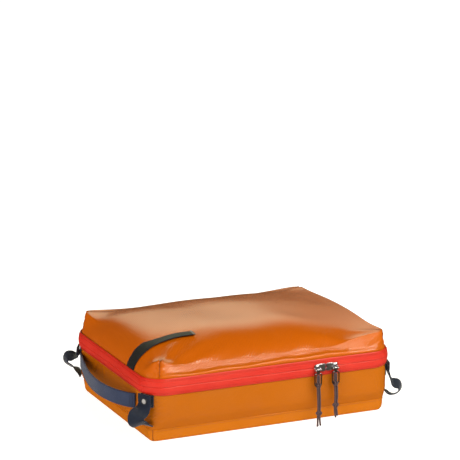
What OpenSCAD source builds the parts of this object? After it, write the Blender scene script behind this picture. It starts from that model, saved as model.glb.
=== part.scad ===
// Packing cube: a soft coated-cloth case with a zip-round lid, one end handle and four snap loops.
// Millimetres. Origin: centre of the base, on the floor. Front is -Y, the handle end is -X, +Z is up.

/* [Case] */
// Length of the zip band, end to end
band_l = 360; // [300:1:420]
// Depth of the zip band, front to back
band_d = 278; // [220:1:340]
// Outer corner radius of the zip band
band_r = 32; // [20:1:50]
// Height of the middle of the zip above the floor
zip_z = 77.2; // [60:0.1:110]
// Thickness of the coated cloth with its lining
cloth_t = 1.5; // [0.8:0.1:3]
// How far the bottom edge stands in from the band, at the floor
base_inset = 14; // [0:1:30]
// Height of the turned-up bottom tray
tray_h = 17.6; // [10:0.1:30]

/* [Lid] */
// Height of the lid's four boxed corners above the floor
lid_corner_z = 114; // [95:1:140]
// Length of the lid's top panel, corner to corner
lid_top_l = 330; // [280:1:380]
// Depth of the lid's top panel, corner to corner
lid_top_d = 256; // [200:1:320]
// Rise of the middle of the packed lid above its edges
lid_dome = 19; // [0:1:40]
// Rise of the middle of each top edge above the corners
lid_edge_rise = 2.5; // [0:0.5:10]

/* [Zip] */
// Height of one zip tape
tape_h = 10.6; // [8:0.1:14]
// Thickness of the zip tape
tape_t = 0.8; // [0.5:0.1:1.5]
// Gap between the two tapes
zip_gap = 1.4; // [1:0.1:3]
// Half of the length of back edge that is a plain cloth hinge
hinge_half = 130; // [60:1:160]
// Length of a slider along the zip
slider_l = 16.6; // [10:0.1:24]
// Height of a slider's front plate
slider_h = 11; // [8:0.1:14]
// Where the two closed sliders meet, right of the middle
slider_meet_x = 75.75; // [0:0.25:120]

/* [Pulls] */
// Width of a wire pull frame
pull_w = 11.5; // [8:0.1:16]
// Reach of a pull frame below its hinge bar
pull_l = 22; // [14:0.5:30]
// Thickness of the pull's wire
wire_d = 1.7; // [1:0.1:2.5]
// Diameter of the pull cord
cord_d = 2.6; // [1.5:0.1:3]

/* [Webbing] */
// Width of the end handle's webbing
handle_w = 20; // [18:1:38]
// Thickness of the handle, two layers of webbing
handle_t = 2; // [1:0.1:4]
// How far the handle bows out from the end wall
handle_bow = 24; // [15:1:40]
// Width of the snap loops' webbing
loop_w = 22; // [15:1:30]
// Thickness of the snap loops' webbing
loop_t = 1.4; // [1:0.1:3]
// Diameter of a snap's cap
snap_d = 10.4; // [8:0.1:14]

/* [Part] */
// The sub-part to draw

/* [Hidden] */

orange = "#d4730a";
red = "#e8382a";
navy = "#2d3755";
charcoal = "#26262a";
steel = "#c8cace";
plum = "#5f4146";

half_l = band_l / 2;
half_d = band_d / 2;
gap = 0.1;            // between two layers that are sewn together
clear = 0.3;          // between parts that move past each other
arc_steps = 8;        // facets in a quarter round of cloth
$fn = 32;

// Zip heights
tape_lo = zip_z - zip_gap / 2 - tape_h;
tape_hi = zip_z + zip_gap / 2 + tape_h;
tape_crown = 1;       // how far the band's middle stands out past its edges
coil_r = 1;
coil_in = 0.9;        // coil centre, in from the band's nominal face

// Slider, measured out from the front face of the band
plate_t = 1.4;
plate_y = -half_d - tape_crown - 0.4;
inner_y = -half_d + coil_in + coil_r + 0.4;
post_t = 0.8;
crown_out = 2.6;      // hinge bar in front of the plate
crown_shift = 4.3;    // hinge bar's middle from the slider's middle
bar_z = 75;
bar_r = 0.9;
bar_y = plate_y - plate_t - crown_out;
knuckle_w = 5;
knuckle_r = 2.1;
bar_fit = 0.05;       // running clearance of the pull on its bar
slider_x = [slider_meet_x - 0.25 - slider_l / 2, slider_meet_x + 0.25 + slider_l / 2];
frame_foot_z = bar_z - pull_l + wire_d / 2;

// Handle, from its near end to its far end
handle_y0 = -94;
handle_y1 = 110;
handle_z = 50;
handle_skew = 0.72;   // puts the widest bow nearer the front
handle_fixed = [0.055, 0.84];
wall_x = -half_l + 0.3;

// Snap loops: end, side, angle of the tab round the corner, height of the belly
FL = [-1, -1, 28, 38];
BL = [-1, 1, 28, 47];
FR = [1, -1, 16, 28];
BR = [1, 1, 20, 36];
corner_wall_r = band_r - 0.7;
snap_z = 57.5;
tab_z = [49.5, 65.6];
tab_t = loop_t;
strap_n = tab_t + gap + 3;   // middle of the snapped strap, out from the wall
loop_root = [0.8, 24];       // out from the wall and up: the sewn end the loop turns about

// ---- Outlines --------------------------------------------------------------------------

function arc_pts(cx, cy, r, a0) =
    [for (i = [0:arc_steps]) let (a = a0 + 90 * i / arc_steps) [cx + r * cos(a), cy + r * sin(a)]];

function between(p, q, n) = [for (i = [1:1:n]) p + (q - p) * i / (n + 1)];

// Rounded rectangle, anticlockwise from the front right corner, nx and ny points along its straights
function ring2(hx, hy, r, nx = 0, ny = 0) =
    let (ax = hx - r, ay = hy - r)
    concat(
        arc_pts(ax, -ay, r, -90), between([hx, -ay], [hx, ay], ny),
        arc_pts(ax, ay, r, 0), between([ax, hy], [-ax, hy], nx),
        arc_pts(-ax, ay, r, 90), between([-hx, ay], [-hx, -ay], ny),
        arc_pts(-ax, -ay, r, 180), between([-ax, -hy], [ax, -hy], nx));

// The zip's run at offset o: from the back left, round the front, to the back right
function zip_run(o) =
    let (hx = half_l + o, hy = half_d + o, r = band_r + o, ax = hx - r, ay = hy - r)
    concat(
        [[-hinge_half, hy]], arc_pts(-ax, ay, r, 90), arc_pts(-ax, -ay, r, 180),
        arc_pts(ax, -ay, r, 270), arc_pts(ax, ay, r, 0), [[hinge_half, hy]]);

function lift(ring, z) = [for (p = ring) [p[0], p[1], z]];

function clamp(x) = min(1, max(0, x));

function ease(x) = let (c = clamp(x)) c * c * (3 - 2 * c);

// Height of the lid at (x, y): boxed is 0 at the band's edge and 1 on the top panel.
// The corners are boxed; between them the front and the left roll over in one broad curve.
function lid_z(x, y, boxed = 1) =
    let (p = clamp(abs(x) * 2 / lid_top_l), q = clamp(abs(y) * 2 / lid_top_d),
         u = x / (half_l - 0.9), v = y / (half_d - 0.9), foot = tape_hi - 3,
         right_edge = x > 0 ? 4.5 * pow(p, 5) * (1 - q * q) : 0,
         flat_top = lid_corner_z + lid_dome * (1 - p * p) * (1 - q * q) + right_edge
             + lid_edge_rise * ((1 - p * p) * pow(q, 8) + (1 - q * q) * pow(p, 8)),
         z_boxed = foot + (flat_top - foot) * boxed,
         across = u < 0 ? pow(clamp(1 - pow(-u, 8)), 0.6) * (1 - 0.15 * u * u) : pow(clamp(1 - pow(u, 3)), 0.7),
         z_rolled = foot + (lid_corner_z + lid_dome - foot) * across * pow(clamp(1 - pow(abs(v), 3)), 0.7),
         away = ease((0.84 - abs(u * v)) / 0.42),
         front = 0.3 + 0.7 * ease((0.4 - v) / 0.8), left = 0.08 + 0.92 * ease((0.4 - u) / 0.8),
         wx = pow(abs(u), 6), wy = pow(abs(v), 6))
    z_boxed + (z_rolled - z_boxed) * away * (left * wx + front * wy + 0.0005) / (wx + wy + 0.001);

// A curve through hand-placed points
function spline_at(p, i, t) =
    let (n = len(p) - 1, a = p[max(i - 1, 0)], b = p[i], c = p[min(i + 1, n)], d = p[min(i + 2, n)])
    0.5 * (2 * b + (c - a) * t + (2 * a - 5 * b + 4 * c - d) * t * t
        + (3 * b - a - 3 * c + d) * t * t * t);

function spline(p, steps) =
    concat([for (i = [0:len(p) - 2], k = [0:steps - 1]) spline_at(p, i, k / steps)], [p[len(p) - 1]]);

function unit(v) = v / norm(v);

function heading(p, i) = unit(p[min(i + 1, len(p) - 1)] - p[max(i - 1, 0)]);

// Both edges of a strip of thickness t along a flat curve
function ribbon(p, t) =
    let (side = [for (i = [0:len(p) - 1]) let (h = heading(p, i)) [-h[1], h[0]] * t / 2])
    concat([for (i = [0:len(p) - 1]) p[i] + side[i]], [for (i = [len(p) - 1:-1:0]) p[i] - side[i]]);

// ---- Solids ----------------------------------------------------------------------------

// Skin over rings of equal length; an open profile or an open path gets flat ends
module skin(rings, profile_closed = true, path_closed = true) {
    m = len(rings);
    n = len(rings[0]);
    i_last = profile_closed ? m - 1 : m - 2;
    j_last = path_closed ? n - 1 : n - 2;
    quads = [for (i = [0:i_last], j = [0:j_last])
        let (k = (i + 1) % m, l = (j + 1) % n)
        each [[i * n + j, k * n + l, i * n + l], [i * n + j, k * n + j, k * n + l]]];
    profile_caps = profile_closed ? []
        : [[for (j = [0:n - 1]) j], [for (j = [n - 1:-1:0]) (m - 1) * n + j]];
    path_caps = path_closed ? []
        : [[for (i = [m - 1:-1:0]) i * n], [for (i = [0:m - 1]) i * n + n - 1]];
    polyhedron([for (r = rings) each r], concat(quads, profile_caps, path_caps));
}

// Rings of the case below the zip: each entry is an inset, a corner radius and a height
function case_rings(profile, t = 0) =
    [for (p = profile) lift(ring2(half_l - 0.8 * p[0] - t, half_d - 1.15 * p[0] - t, p[1] - t), p[2])];

// A strip with a flat profile of [offset, height] points, along the zip's run
module along_zip(profile) {
    skin([for (p = profile) lift(zip_run(p[0]), p[1])], path_closed = false);
}

// The zip's convex face on one side of the middle: sign is 1 above and -1 below
function tape_profile(sign) =
    let (edge = zip_z + sign * (zip_gap / 2 + tape_h), mid = zip_z + sign * zip_gap / 2,
         bend = (edge + mid) / 2,
         face = [[0.1, edge], [0.8 * tape_crown, bend], [tape_crown, mid]],
         rear = [for (i = [2:-1:0]) face[i] - [tape_t, 0]],
         loop = concat(face, rear))
    sign < 0 ? loop : [for (i = [len(loop) - 1:-1:0]) loop[i]];

module zip_coil(z) {
    along_zip([for (a = [-67.5:45:247.5]) [-coil_in + coil_r * cos(a), z + coil_r * sin(a)]]);
}

module hinge_strip(sign) {
    profile = [for (p = tape_profile(sign)) [p[0] + half_d, p[1]]];
    translate([-hinge_half + clear, 0, 0]) rotate([90, 0, 90])
        linear_extrude(2 * (hinge_half - clear)) polygon(profile);
}

// Stand on a corner of the case: +X points out of the wall, +Y along it, +Z up
module at_corner(loop) {
    angle = atan2(loop[1] * sin(loop[2]), loop[0] * cos(loop[2]));
    translate([loop[0] * (half_l - band_r), loop[1] * (half_d - band_r), 0])
        rotate(angle) translate([corner_wall_r, 0, 0]) children();
}

// A disc that faces out of the wall, from n0 to n1
module disc(n0, n1, r) {
    translate([n0, 0, snap_z]) rotate([0, 90, 0]) cylinder(h = n1 - n0, r = r);
}

module lash_tab(loop) {
    color(navy) at_corner(loop)
        translate([gap, -loop_w / 2, tab_z[0]]) cube([tab_t, loop_w, tab_z[1] - tab_z[0]]);
}

module snap_stud(loop) {
    color(charcoal) at_corner(loop) {
        disc(gap + tab_t, gap + tab_t + 0.6, 4.4);
        disc(gap + tab_t, strap_n - loop_t / 2 - 0.4, 2);
    }
}

// The strap from under the snap, round its belly, to its sewn end
function loop_route(belly) = [
    [strap_n, 66.5], [strap_n, 58], [strap_n + 0.1, 52.5], [11, min(belly + 8, 51.5)],
    [20.5, belly + 4], [22, belly - 4], [15, belly - 9.5],
    [5, (belly - 9.5 + loop_root[1]) / 2], loop_root
];

module lash_loop(loop) {
    color(navy) at_corner(loop) rotate([90, 0, 0])
        linear_extrude(loop_w, center = true) polygon(ribbon(spline(loop_route(loop[3]), 4), loop_t));
}

module snap_cap(loop) {
    skirt = strap_n - loop_t / 2 - gap;
    top = strap_n + loop_t / 2 + gap;
    color(charcoal) at_corner(loop) {
        difference() {
            disc(skirt - 1.4, skirt, 4.6);
            disc(skirt - 2, skirt - 0.2, 2.35);
        }
        disc(top, top + 0.9, snap_d / 2);
        disc(top, top + 1.5, snap_d / 2 - 1.2);
    }
}

// The handle's inner face, from s = 0 at its near end to s = 1 at its far end
function handle_pt(s, out = 0) =
    [wall_x - gap - handle_bow * sin(180 * pow(s, handle_skew)) - out,
        handle_y0 + (handle_y1 - handle_y0) * s];

module handle_run(s0, s1, steps) {
    stations = [for (i = [0:steps]) s0 + (s1 - s0) * i / steps];
    outline = concat([for (s = stations) handle_pt(s)],
        [for (i = [steps:-1:0]) handle_pt(stations[i], handle_t)]);
    color(navy) translate([0, 0, handle_z - handle_w / 2]) linear_extrude(handle_w) polygon(outline);
}

module slider_body(side) {
    tail = slider_l / 2;
    nose_h = slider_h / 2;
    tail_h = nose_h - 1.6;
    outline = [[-tail, -nose_h + 1.5], [-tail + 1.5, -nose_h], [1, -nose_h], [tail - 1, -tail_h],
        [tail, -tail_h + 1], [tail, tail_h - 1], [tail - 1, tail_h], [1, nose_h],
        [-tail + 1.5, nose_h], [-tail, nose_h - 1.5]];
    bar_l = knuckle_w + 4;
    color(steel) translate([slider_x[side < 0 ? 0 : 1], 0, 0]) {
        // front plate, drawn with its tail on +X
        translate([0, plate_y, zip_z]) rotate([90, 0, 0])
            linear_extrude(plate_t) polygon([for (p = outline) [side * p[0], p[1]]]);
        // post through the zip's gap, near the nose
        translate([side * (-tail + 3.5) - 2.5, plate_y - gap, zip_z - post_t / 2])
            cube([5, inner_y - plate_y + 1, post_t]);
        // rear plate behind the lower coil, with its flange
        translate([-tail + 1.5, inner_y, zip_z - 5.6]) cube([slider_l - 3, 1.2, 6]);
        translate([-tail + 1.5, inner_y - 1.2, zip_z - 5.6]) cube([slider_l - 3, 1.3, 1]);
        // crown with its hinge bar
        translate([side * crown_shift, 0, bar_z]) {
            translate([-bar_l / 2, bar_y, 0]) rotate([0, 90, 0]) cylinder(h = bar_l, r = bar_r);
            for (x = [-bar_l / 2, bar_l / 2 - 1.4]) {
                translate([x, bar_y, 0]) rotate([0, 90, 0]) cylinder(h = 1.4, r = 1.4);
                translate([x, bar_y, -1.4]) cube([1.4, crown_out + 0.2, 2.8]);
            }
        }
    }
}

module pull_frame(side) {
    inner_w = pull_w - 2 * wire_d;
    top = -knuckle_r - 2.1;
    color(steel) translate([slider_x[side < 0 ? 0 : 1] + side * crown_shift, bar_y, bar_z]) {
        difference() {
            union() {
                rotate([0, 90, 0]) cylinder(h = knuckle_w, r = knuckle_r, center = true);
                translate([-2, -wire_d / 2, top - 0.5]) cube([4, wire_d, -top]);
            }
            rotate([0, 90, 0]) cylinder(h = knuckle_w + 1, r = bar_r + bar_fit, center = true);
        }
        difference() {
            translate([-pull_w / 2, -wire_d / 2, -pull_l]) cube([pull_w, wire_d, pull_l + top]);
            translate([-inner_w / 2, -wire_d, -pull_l + wire_d])
                cube([inner_w, 2 * wire_d, pull_l + top - 2 * wire_d]);
        }
    }
}

// A cord of eight sides along its route
module cord(route) {
    color(plum) skin([for (i = [0:len(route) - 1])
        let (h = heading(route, i), a = unit(cross(h, [1, 0, 0])), b = cross(a, h))
        [for (k = [0:7]) route[i] + cord_d / 2 * (a * cos(45 * k) + b * sin(45 * k))]],
        profile_closed = false);
}

// The cord's wrap round the foot of the pull frame, and its bight up inside the frame
module cord_hitch(side) {
    x = slider_x[side < 0 ? 0 : 1] + side * crown_shift;
    bight_top = bar_z - knuckle_r - 2.1 - wire_d - 0.2 - cord_d / 2;
    color(plum) translate([x, bar_y, 0]) {
        for (dx = [-1.4, 1.4]) translate([dx, 0, frame_foot_z]) rotate([0, 90, 0]) difference() {
            cylinder(h = cord_d, r = wire_d / 2 + 0.45 + cord_d, center = true);
            cylinder(h = cord_d + 1, r = wire_d / 2 + 0.45, center = true);
        }
        hull() for (dx = [-1.4, 1.4]) translate([dx, 0, frame_foot_z + 3]) {
            cylinder(h = 1, d = cord_d);
            translate([0, 0, bight_top - frame_foot_z - 3]) sphere(d = cord_d);
        }
    }
}

module cord_knot(centre) {
    color(plum) translate(centre) {
        sphere(r = 3.5);
        for (dz = [-2.2, 2.2]) translate([0, 0, dz]) sphere(r = 3);
    }
}

// ---- Base ------------------------------------------------------------------------------

module bottom_tray() {
    rim = [[8, 14, tray_h], [10.5, 10, 5], [base_inset, 8, 0]];
    outer = case_rings([rim[2], rim[1], rim[0]]);
    inner = case_rings([rim[0], [rim[1][0], rim[1][1], rim[1][2] + cloth_t],
        [rim[2][0], rim[2][1], cloth_t]], cloth_t);
    color(orange) skin(concat(outer, inner), profile_closed = false);
}

// The side wall tucks into the tray and behind the lower tape
module side_wall() {
    face = [[11.9, 10.5, 9], [10.1, 12.8, tray_h], [8, 14, tray_h + 0.9], [1.5, 26, 31], [0.7, band_r - 0.5, 45],
        [1, band_r - 0.7, tape_lo], [1, band_r - 0.7, tape_lo + 3]];
    outer = case_rings(face);
    inner = case_rings([for (i = [len(face) - 1:-1:0]) face[i]], cloth_t);
    color(orange) skin(concat(outer, inner));
}

module wall_binding() {
    o = -1.4 - cloth_t;
    color(navy) along_zip([[o, tape_lo - 4], [o, tape_lo + 3.5], [o - 0.7, tape_lo + 3.5], [o - 0.7, tape_lo - 4]]);
}

module zip_tape_lower() { color(red) along_zip(tape_profile(-1)); }

module zip_coil_lower() { color(red) zip_coil(zip_z - zip_gap / 2 - coil_r - 0.1); }

module hinge_strip_lower() { color(red) hinge_strip(-1); }

module handle_end_near() { handle_run(0, handle_fixed[0] - 0.002, 4); }

module handle_end_far() { handle_run(handle_fixed[1] + 0.002, 1, 6); }

module handle_strap() { handle_run(handle_fixed[0], handle_fixed[1], 20); }

module lash_tab_front_left() { lash_tab(FL); }
module lash_tab_back_left() { lash_tab(BL); }
module lash_tab_front_right() { lash_tab(FR); }
module lash_tab_back_right() { lash_tab(BR); }

module snap_stud_front_left() { snap_stud(FL); }
module snap_stud_back_left() { snap_stud(BL); }
module snap_stud_front_right() { snap_stud(FR); }
module snap_stud_back_right() { snap_stud(BR); }

module lash_loop_front_left() { lash_loop(FL); }
module lash_loop_back_left() { lash_loop(BL); }
module lash_loop_front_right() { lash_loop(FR); }
module lash_loop_back_right() { lash_loop(BR); }

module snap_cap_front_left() { snap_cap(FL); }
module snap_cap_back_left() { snap_cap(BL); }
module snap_cap_front_right() { snap_cap(FR); }
module snap_cap_back_right() { snap_cap(BR); }

// ---- Lid -------------------------------------------------------------------------------

// Rings of the lid's shell at depth t inside its outer face, from the band's edge to the middle
function lid_rings(t) =
    let (top_x = lid_top_l / 2, top_y = lid_top_d / 2,
         side = [for (k = [0, 0.12, 0.3, 0.6, 1]) lid_ring(half_l - 0.9 + (top_x - half_l + 0.9) * k,
             half_d - 0.9 + (top_y - half_d + 0.9) * k, band_r - 0.9 + (11.9 - band_r) * k, t, k)],
         top = [for (k = [0.93, 0.85, 0.72, 0.55, 0.36, 0.16]) lid_ring(top_x * k, top_y * k, 11 * k, t, 1)])
    concat(side, top);

// One ring, t below the outer face: rise goes from 0 at the band's edge to 1 on the top panel
function lid_ring(hx, hy, r, t, rise) =
    let (outer = ring2(hx, hy, r, 7, 6), inner = ring2(hx - t, hy - t, r - min(t, 0.9 * r), 7, 6))
    [for (i = [0:len(outer) - 1])
        [inner[i][0], inner[i][1], lid_z(outer[i][0], outer[i][1], rise) - (rise > 0 ? t : 0)]];

module lid_panel() {
    outer = lid_rings(0);
    inner = lid_rings(cloth_t);
    color(orange) skin(concat([for (i = [len(inner) - 1:-1:0]) inner[i]], outer), profile_closed = false);
}

module lid_binding() {
    o = -2.4 - cloth_t;
    color(navy) along_zip([[o, tape_hi - 4.6], [o, tape_hi - 1.6], [o - 0.7, tape_hi - 1.6], [o - 0.7, tape_hi - 4.6]]);
}

module zip_tape_upper() { color(red) along_zip(tape_profile(1)); }

module zip_coil_upper() { color(red) zip_coil(zip_z + zip_gap / 2 + coil_r + 0.1); }

module hinge_strip_upper() { color(red) hinge_strip(1); }

// A blank label strip: up the lid's left side and over onto its top
module label_strip() {
    label_w = 25;
    label_t = 0.6;
    label_y = -73;
    foot_x = half_l - 0.9;
    lean = foot_x - lid_top_l / 2;
    up_side = [for (k = [0.12, 0.35, 0.7])
        [-foot_x + lean * k - 0.3, label_y, lid_z(-foot_x + lean * k, label_y, k) + 0.2]];
    over_top = [for (p = [[-163, -72.5], [-156, -71.6], [-146, -70.5], [-130, -69.5], [-111, -69.6], [-88, -71.5]])
        [p[0], p[1], lid_z(p[0], p[1]) + 0.35]];
    mid = spline(concat(up_side, over_top), 2);
    rings = [for (i = [0:len(mid) - 1])
        let (h = heading(mid, i), w = unit([-h[1], max(h[0], 0.2), 0]) * label_w / 2,
             up = unit(cross(h, w)) * label_t)
        [mid[i] - w, mid[i] + w, mid[i] + w + up, mid[i] - w + up]];
    color(charcoal) skin(rings, profile_closed = false);
}

// ---- Sliders and pulls -----------------------------------------------------------------

module slider_left() { slider_body(-1); }
module slider_right() { slider_body(1); }

module pull_frame_left() { pull_frame(-1); }
module pull_frame_right() { pull_frame(1); }

module cord_hitch_left() { cord_hitch(-1); }
module cord_hitch_right() { cord_hitch(1); }

module cord_knot_left() { cord_knot([63.8, -145, 14.2]); }
module cord_knot_right() { cord_knot([88.8, -145, 23]); }

module cord_left_a() {
    cord([[61.55, -145.2, 50], [61.75, -145.2, 46.5], [61.95, -145.2, 42.5], [62.25, -145.1, 38],
        [62.45, -145.1, 33.5], [62.65, -145, 29], [62.75, -145, 24.5], [62.75, -145, 20], [62.45, -145, 16],
        [62.15, -145.3, 12.4], [61.65, -146.2, 9], [60.85, -147.6, 6.2], [59.85, -149.6, 3.9], [58.75, -151.9, 2.3],
        [57.55, -154.2, 1.5], [56.35, -156.4, 1.4]]);
}

module cord_left_b() {
    cord([[64.45, -145.2, 50], [64.65, -145.2, 46.5], [64.85, -145.2, 42.5], [65.15, -145.1, 38],
        [65.25, -145.1, 33.5], [65.45, -145, 29], [65.45, -145, 24.5], [65.35, -145, 20], [65.15, -145, 16],
        [64.85, -145.3, 12.4], [64.45, -146.3, 9], [63.95, -147.8, 6.1], [63.25, -149.9, 3.6],
        [62.45, -152.2, 2], [61.65, -154.5, 1.4]]);
}

module cord_right_a() {
    cord([[87.45, -145.2, 50], [87.65, -145.2, 47], [87.85, -145.2, 43.8], [88.05, -145.1, 40.5],
        [88.15, -145.1, 37.2], [88.15, -145.1, 34], [88.05, -145, 30.8], [87.85, -145, 27.6], [87.65, -145, 24.4],
        [87.45, -145, 21.2], [87.45, -145.1, 18], [87.65, -145.2, 15], [87.95, -145.3, 12], [88.35, -145.5, 9],
        [88.85, -145.7, 6]]);
}

module cord_right_b() {
    cord([[90.35, -145.2, 50], [90.55, -145.2, 47], [90.75, -145.2, 43.8], [90.95, -145.1, 40.5],
        [91.05, -145.1, 37.2], [91.05, -145.1, 34], [90.85, -145, 30.8], [90.65, -145, 27.6], [90.45, -145, 24.4],
        [90.25, -145, 21.2], [90.15, -145.1, 18.4], [90.25, -145.3, 15.8], [90.45, -145.5, 13.2],
        [90.75, -145.7, 10.8], [91.15, -145.9, 8.4]]);
}

bottom_tray();
side_wall();
wall_binding();
zip_tape_lower();
zip_coil_lower();
hinge_strip_lower();
handle_end_near();
handle_end_far();
handle_strap();
lash_tab_front_left();
lash_tab_back_left();
lash_tab_front_right();
lash_tab_back_right();
snap_stud_front_left();
snap_stud_back_left();
snap_stud_front_right();
snap_stud_back_right();
lash_loop_front_left();
lash_loop_back_left();
lash_loop_front_right();
lash_loop_back_right();
snap_cap_front_left();
snap_cap_back_left();
snap_cap_front_right();
snap_cap_back_right();
lid_panel();
lid_binding();
zip_tape_upper();
zip_coil_upper();
hinge_strip_upper();
label_strip();
slider_left();
slider_right();
pull_frame_left();
pull_frame_right();
cord_hitch_left();
cord_hitch_right();
cord_knot_left();
cord_knot_right();
cord_left_a();
cord_left_b();
cord_right_a();
cord_right_b();
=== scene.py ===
"""Looks for the packing cube: cloth, webbing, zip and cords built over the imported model.

Metres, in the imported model's frame: the base stands on z = 0, the front is -Y, the handle end is -X.
"""

import math

import bpy
import numpy as np
from mathutils import Matrix, Vector
from mathutils.bvhtree import BVHTree


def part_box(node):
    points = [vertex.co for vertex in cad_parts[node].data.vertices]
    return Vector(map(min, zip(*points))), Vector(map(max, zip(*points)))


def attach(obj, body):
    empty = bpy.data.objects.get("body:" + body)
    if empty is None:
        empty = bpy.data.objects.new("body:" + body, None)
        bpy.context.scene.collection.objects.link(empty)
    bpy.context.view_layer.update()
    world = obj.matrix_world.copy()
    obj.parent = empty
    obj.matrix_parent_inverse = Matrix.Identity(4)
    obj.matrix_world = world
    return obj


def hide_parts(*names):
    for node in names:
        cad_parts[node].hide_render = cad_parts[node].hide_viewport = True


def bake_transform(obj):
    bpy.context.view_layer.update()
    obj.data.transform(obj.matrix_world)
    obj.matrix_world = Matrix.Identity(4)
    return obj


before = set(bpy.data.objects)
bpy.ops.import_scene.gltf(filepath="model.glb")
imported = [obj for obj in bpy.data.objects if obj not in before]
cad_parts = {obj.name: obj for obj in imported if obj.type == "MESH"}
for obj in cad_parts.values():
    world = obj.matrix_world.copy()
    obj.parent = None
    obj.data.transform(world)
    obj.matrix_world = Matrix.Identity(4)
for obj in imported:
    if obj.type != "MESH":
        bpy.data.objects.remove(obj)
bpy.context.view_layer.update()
MM = 0.001
QUADRANTS = ((-1, -1), (1, -1), (-1, 1), (1, 1))

# ---- Camera ----

AZIMUTH = math.radians(-24.14)
ELEVATION = math.radians(13.47)
DISTANCE = 3.1553
AIM_RIGHT = -0.0018
AIM_UP = 0.2358
LENS = 177.65


def make_camera():
    level = math.cos(ELEVATION)
    right = Vector((math.cos(AZIMUTH), math.sin(AZIMUTH), 0))
    back = Vector((math.sin(AZIMUTH) * level, -math.cos(AZIMUTH) * level, math.sin(ELEVATION)))
    up = back.cross(right)
    data = bpy.data.cameras.new("camera")
    data.lens = LENS
    data.sensor_width = 36
    data.clip_end = 50
    cam = bpy.data.objects.new("camera", data)
    eye = right * AIM_RIGHT + up * AIM_UP + back * DISTANCE
    cam.matrix_world = Matrix.Translation(eye) @ Matrix((right, up, back)).transposed().to_4x4()
    bpy.context.collection.objects.link(cam)
    bpy.context.scene.camera = cam


bpy.context.scene.view_settings.view_transform = "Standard"
make_camera()

# ---- Sizes, from the frame ----

CROWN = 1 * MM                       # how far the zip's middle stands out past its edges
tape_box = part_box("zip_tape_lower")
HALF_L = tape_box[1].x - CROWN
HALF_D = tape_box[1].y - CROWN
BAND_R = 32 * MM
TAPE_LO = tape_box[0].z
TAPE_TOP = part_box("zip_tape_upper")[1].z
ZIP_Z = (TAPE_LO + TAPE_TOP) / 2
HINGE_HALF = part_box("hinge_strip_lower")[1].x
LID_FOOT = TAPE_TOP - 3 * MM
LID_CORNER_Z = 114 * MM
LID_HALF_L = 165 * MM
LID_HALF_D = 128 * MM
LID_DOME = 19 * MM
LID_EDGE_RISE = 2.5 * MM
LID_FOOT_R, LID_CORNER_R = 31.1 * MM, 11 * MM      # the corners' radius at the band, and up at the top
LID_SIDE_H = 32 * MM
LID_SIDE_ROWS, LID_TOP_ROWS = 27, 62
EAR_X, EAR_Y = -155 * MM, -122 * MM                # the front left corner stands up in a point
TRAY_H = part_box("bottom_tray")[1].z
CLOTH_T = 1.2 * MM
CORD_D = 2.6 * MM
BAND_MID, BAND_HALF = 77.2, 11.3      # mm: the zip band's middle height, and from there to its edges

# ---- Mesh helpers ----


def new_object(name, verts, faces, uvs=None, smooth=True):
    """A mesh object. uvs holds one pair for each face corner, in metres on the cloth."""
    mesh = bpy.data.meshes.new(name)
    mesh.from_pydata([tuple(v) for v in verts], [], faces)
    if uvs is not None:
        layer = mesh.uv_layers.new(name="UVMap")
        layer.data.foreach_set("uv", np.asarray(uvs, np.float32).ravel())
    mesh.polygons.foreach_set("use_smooth", [smooth] * len(mesh.polygons))
    mesh.update()
    obj = bpy.data.objects.new(name, mesh)
    bpy.context.collection.objects.link(obj)
    return obj


OUTWARD = ((0, 0), (0, 1), (1, 1), (1, 0))       # a face's corners, as (rows up, points along)
INWARD = ((0, 0), (1, 0), (1, 1), (0, 1))


def quads(m, n, wrap=True, order=OUTWARD):
    """Faces over m rows of n points. wrap joins each row's last point to its first."""
    return [tuple((i + up) * n + (j + on) % n for up, on in order)
            for i in range(m - 1) for j in range(n if wrap else n - 1)]


def quad_uvs(uv, order=OUTWARD):
    """The uv pairs of the same faces' corners. Over wrapped rows, uv has one more column."""
    m, n = uv.shape[:2]
    return [uv[i + up, j + on] for i in range(m - 1) for j in range(n - 1) for up, on in order]


def capped(m, n):
    """Faces over m closed rows of n points, and over both ends."""
    return quads(m, n) + [tuple(range(n - 1, -1, -1)), tuple(range((m - 1) * n, m * n))]


def grid(name, points, uv, wrap=False):
    """A surface over points[i][j]."""
    m, n = points.shape[:2]
    return new_object(name, points.reshape(-1, 3), quads(m, n, wrap), quad_uvs(uv))


def closed_grid(name, points, uv, row):
    """Rings closed on one middle point, at their first row (0) or their last (-1)."""
    m, n = points.shape[:2]
    faces, uvs = quads(m, n), quad_uvs(uv)
    start = row % m * n
    for j in range(n):
        rim = [(start + j, uv[row, j]), (start + (j + 1) % n, uv[row, j + 1])]
        fan = [(m * n, (0, 0))] + (rim if row else rim[::-1])
        faces.append(tuple(corner[0] for corner in fan))
        uvs += [corner[1] for corner in fan]
    return new_object(name, np.vstack([points.reshape(-1, 3), points[row].mean(0)]), faces, uvs)


def solidify(obj, thickness):
    mod = obj.modifiers.new("thickness", "SOLIDIFY")
    mod.thickness = thickness
    mod.offset = -1
    mod.use_even_offset = True


def path_lengths(points):
    steps = np.linalg.norm(np.diff(points, axis=0), axis=1)
    return np.concatenate([[0], np.cumsum(steps)])


def closed(row):
    """A ring's points, with the first again at the end."""
    return np.vstack([row, row[:1]])


def lift(flat, z):
    """A row of flat points, at height z."""
    return np.column_stack([flat, np.full(len(flat), z)])


def along_curve(at, s, points):
    """The place at distance at, on a curve whose points lie at distances s."""
    return np.stack([np.interp(at, s, points[:, k]) for k in range(3)], -1)


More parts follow.
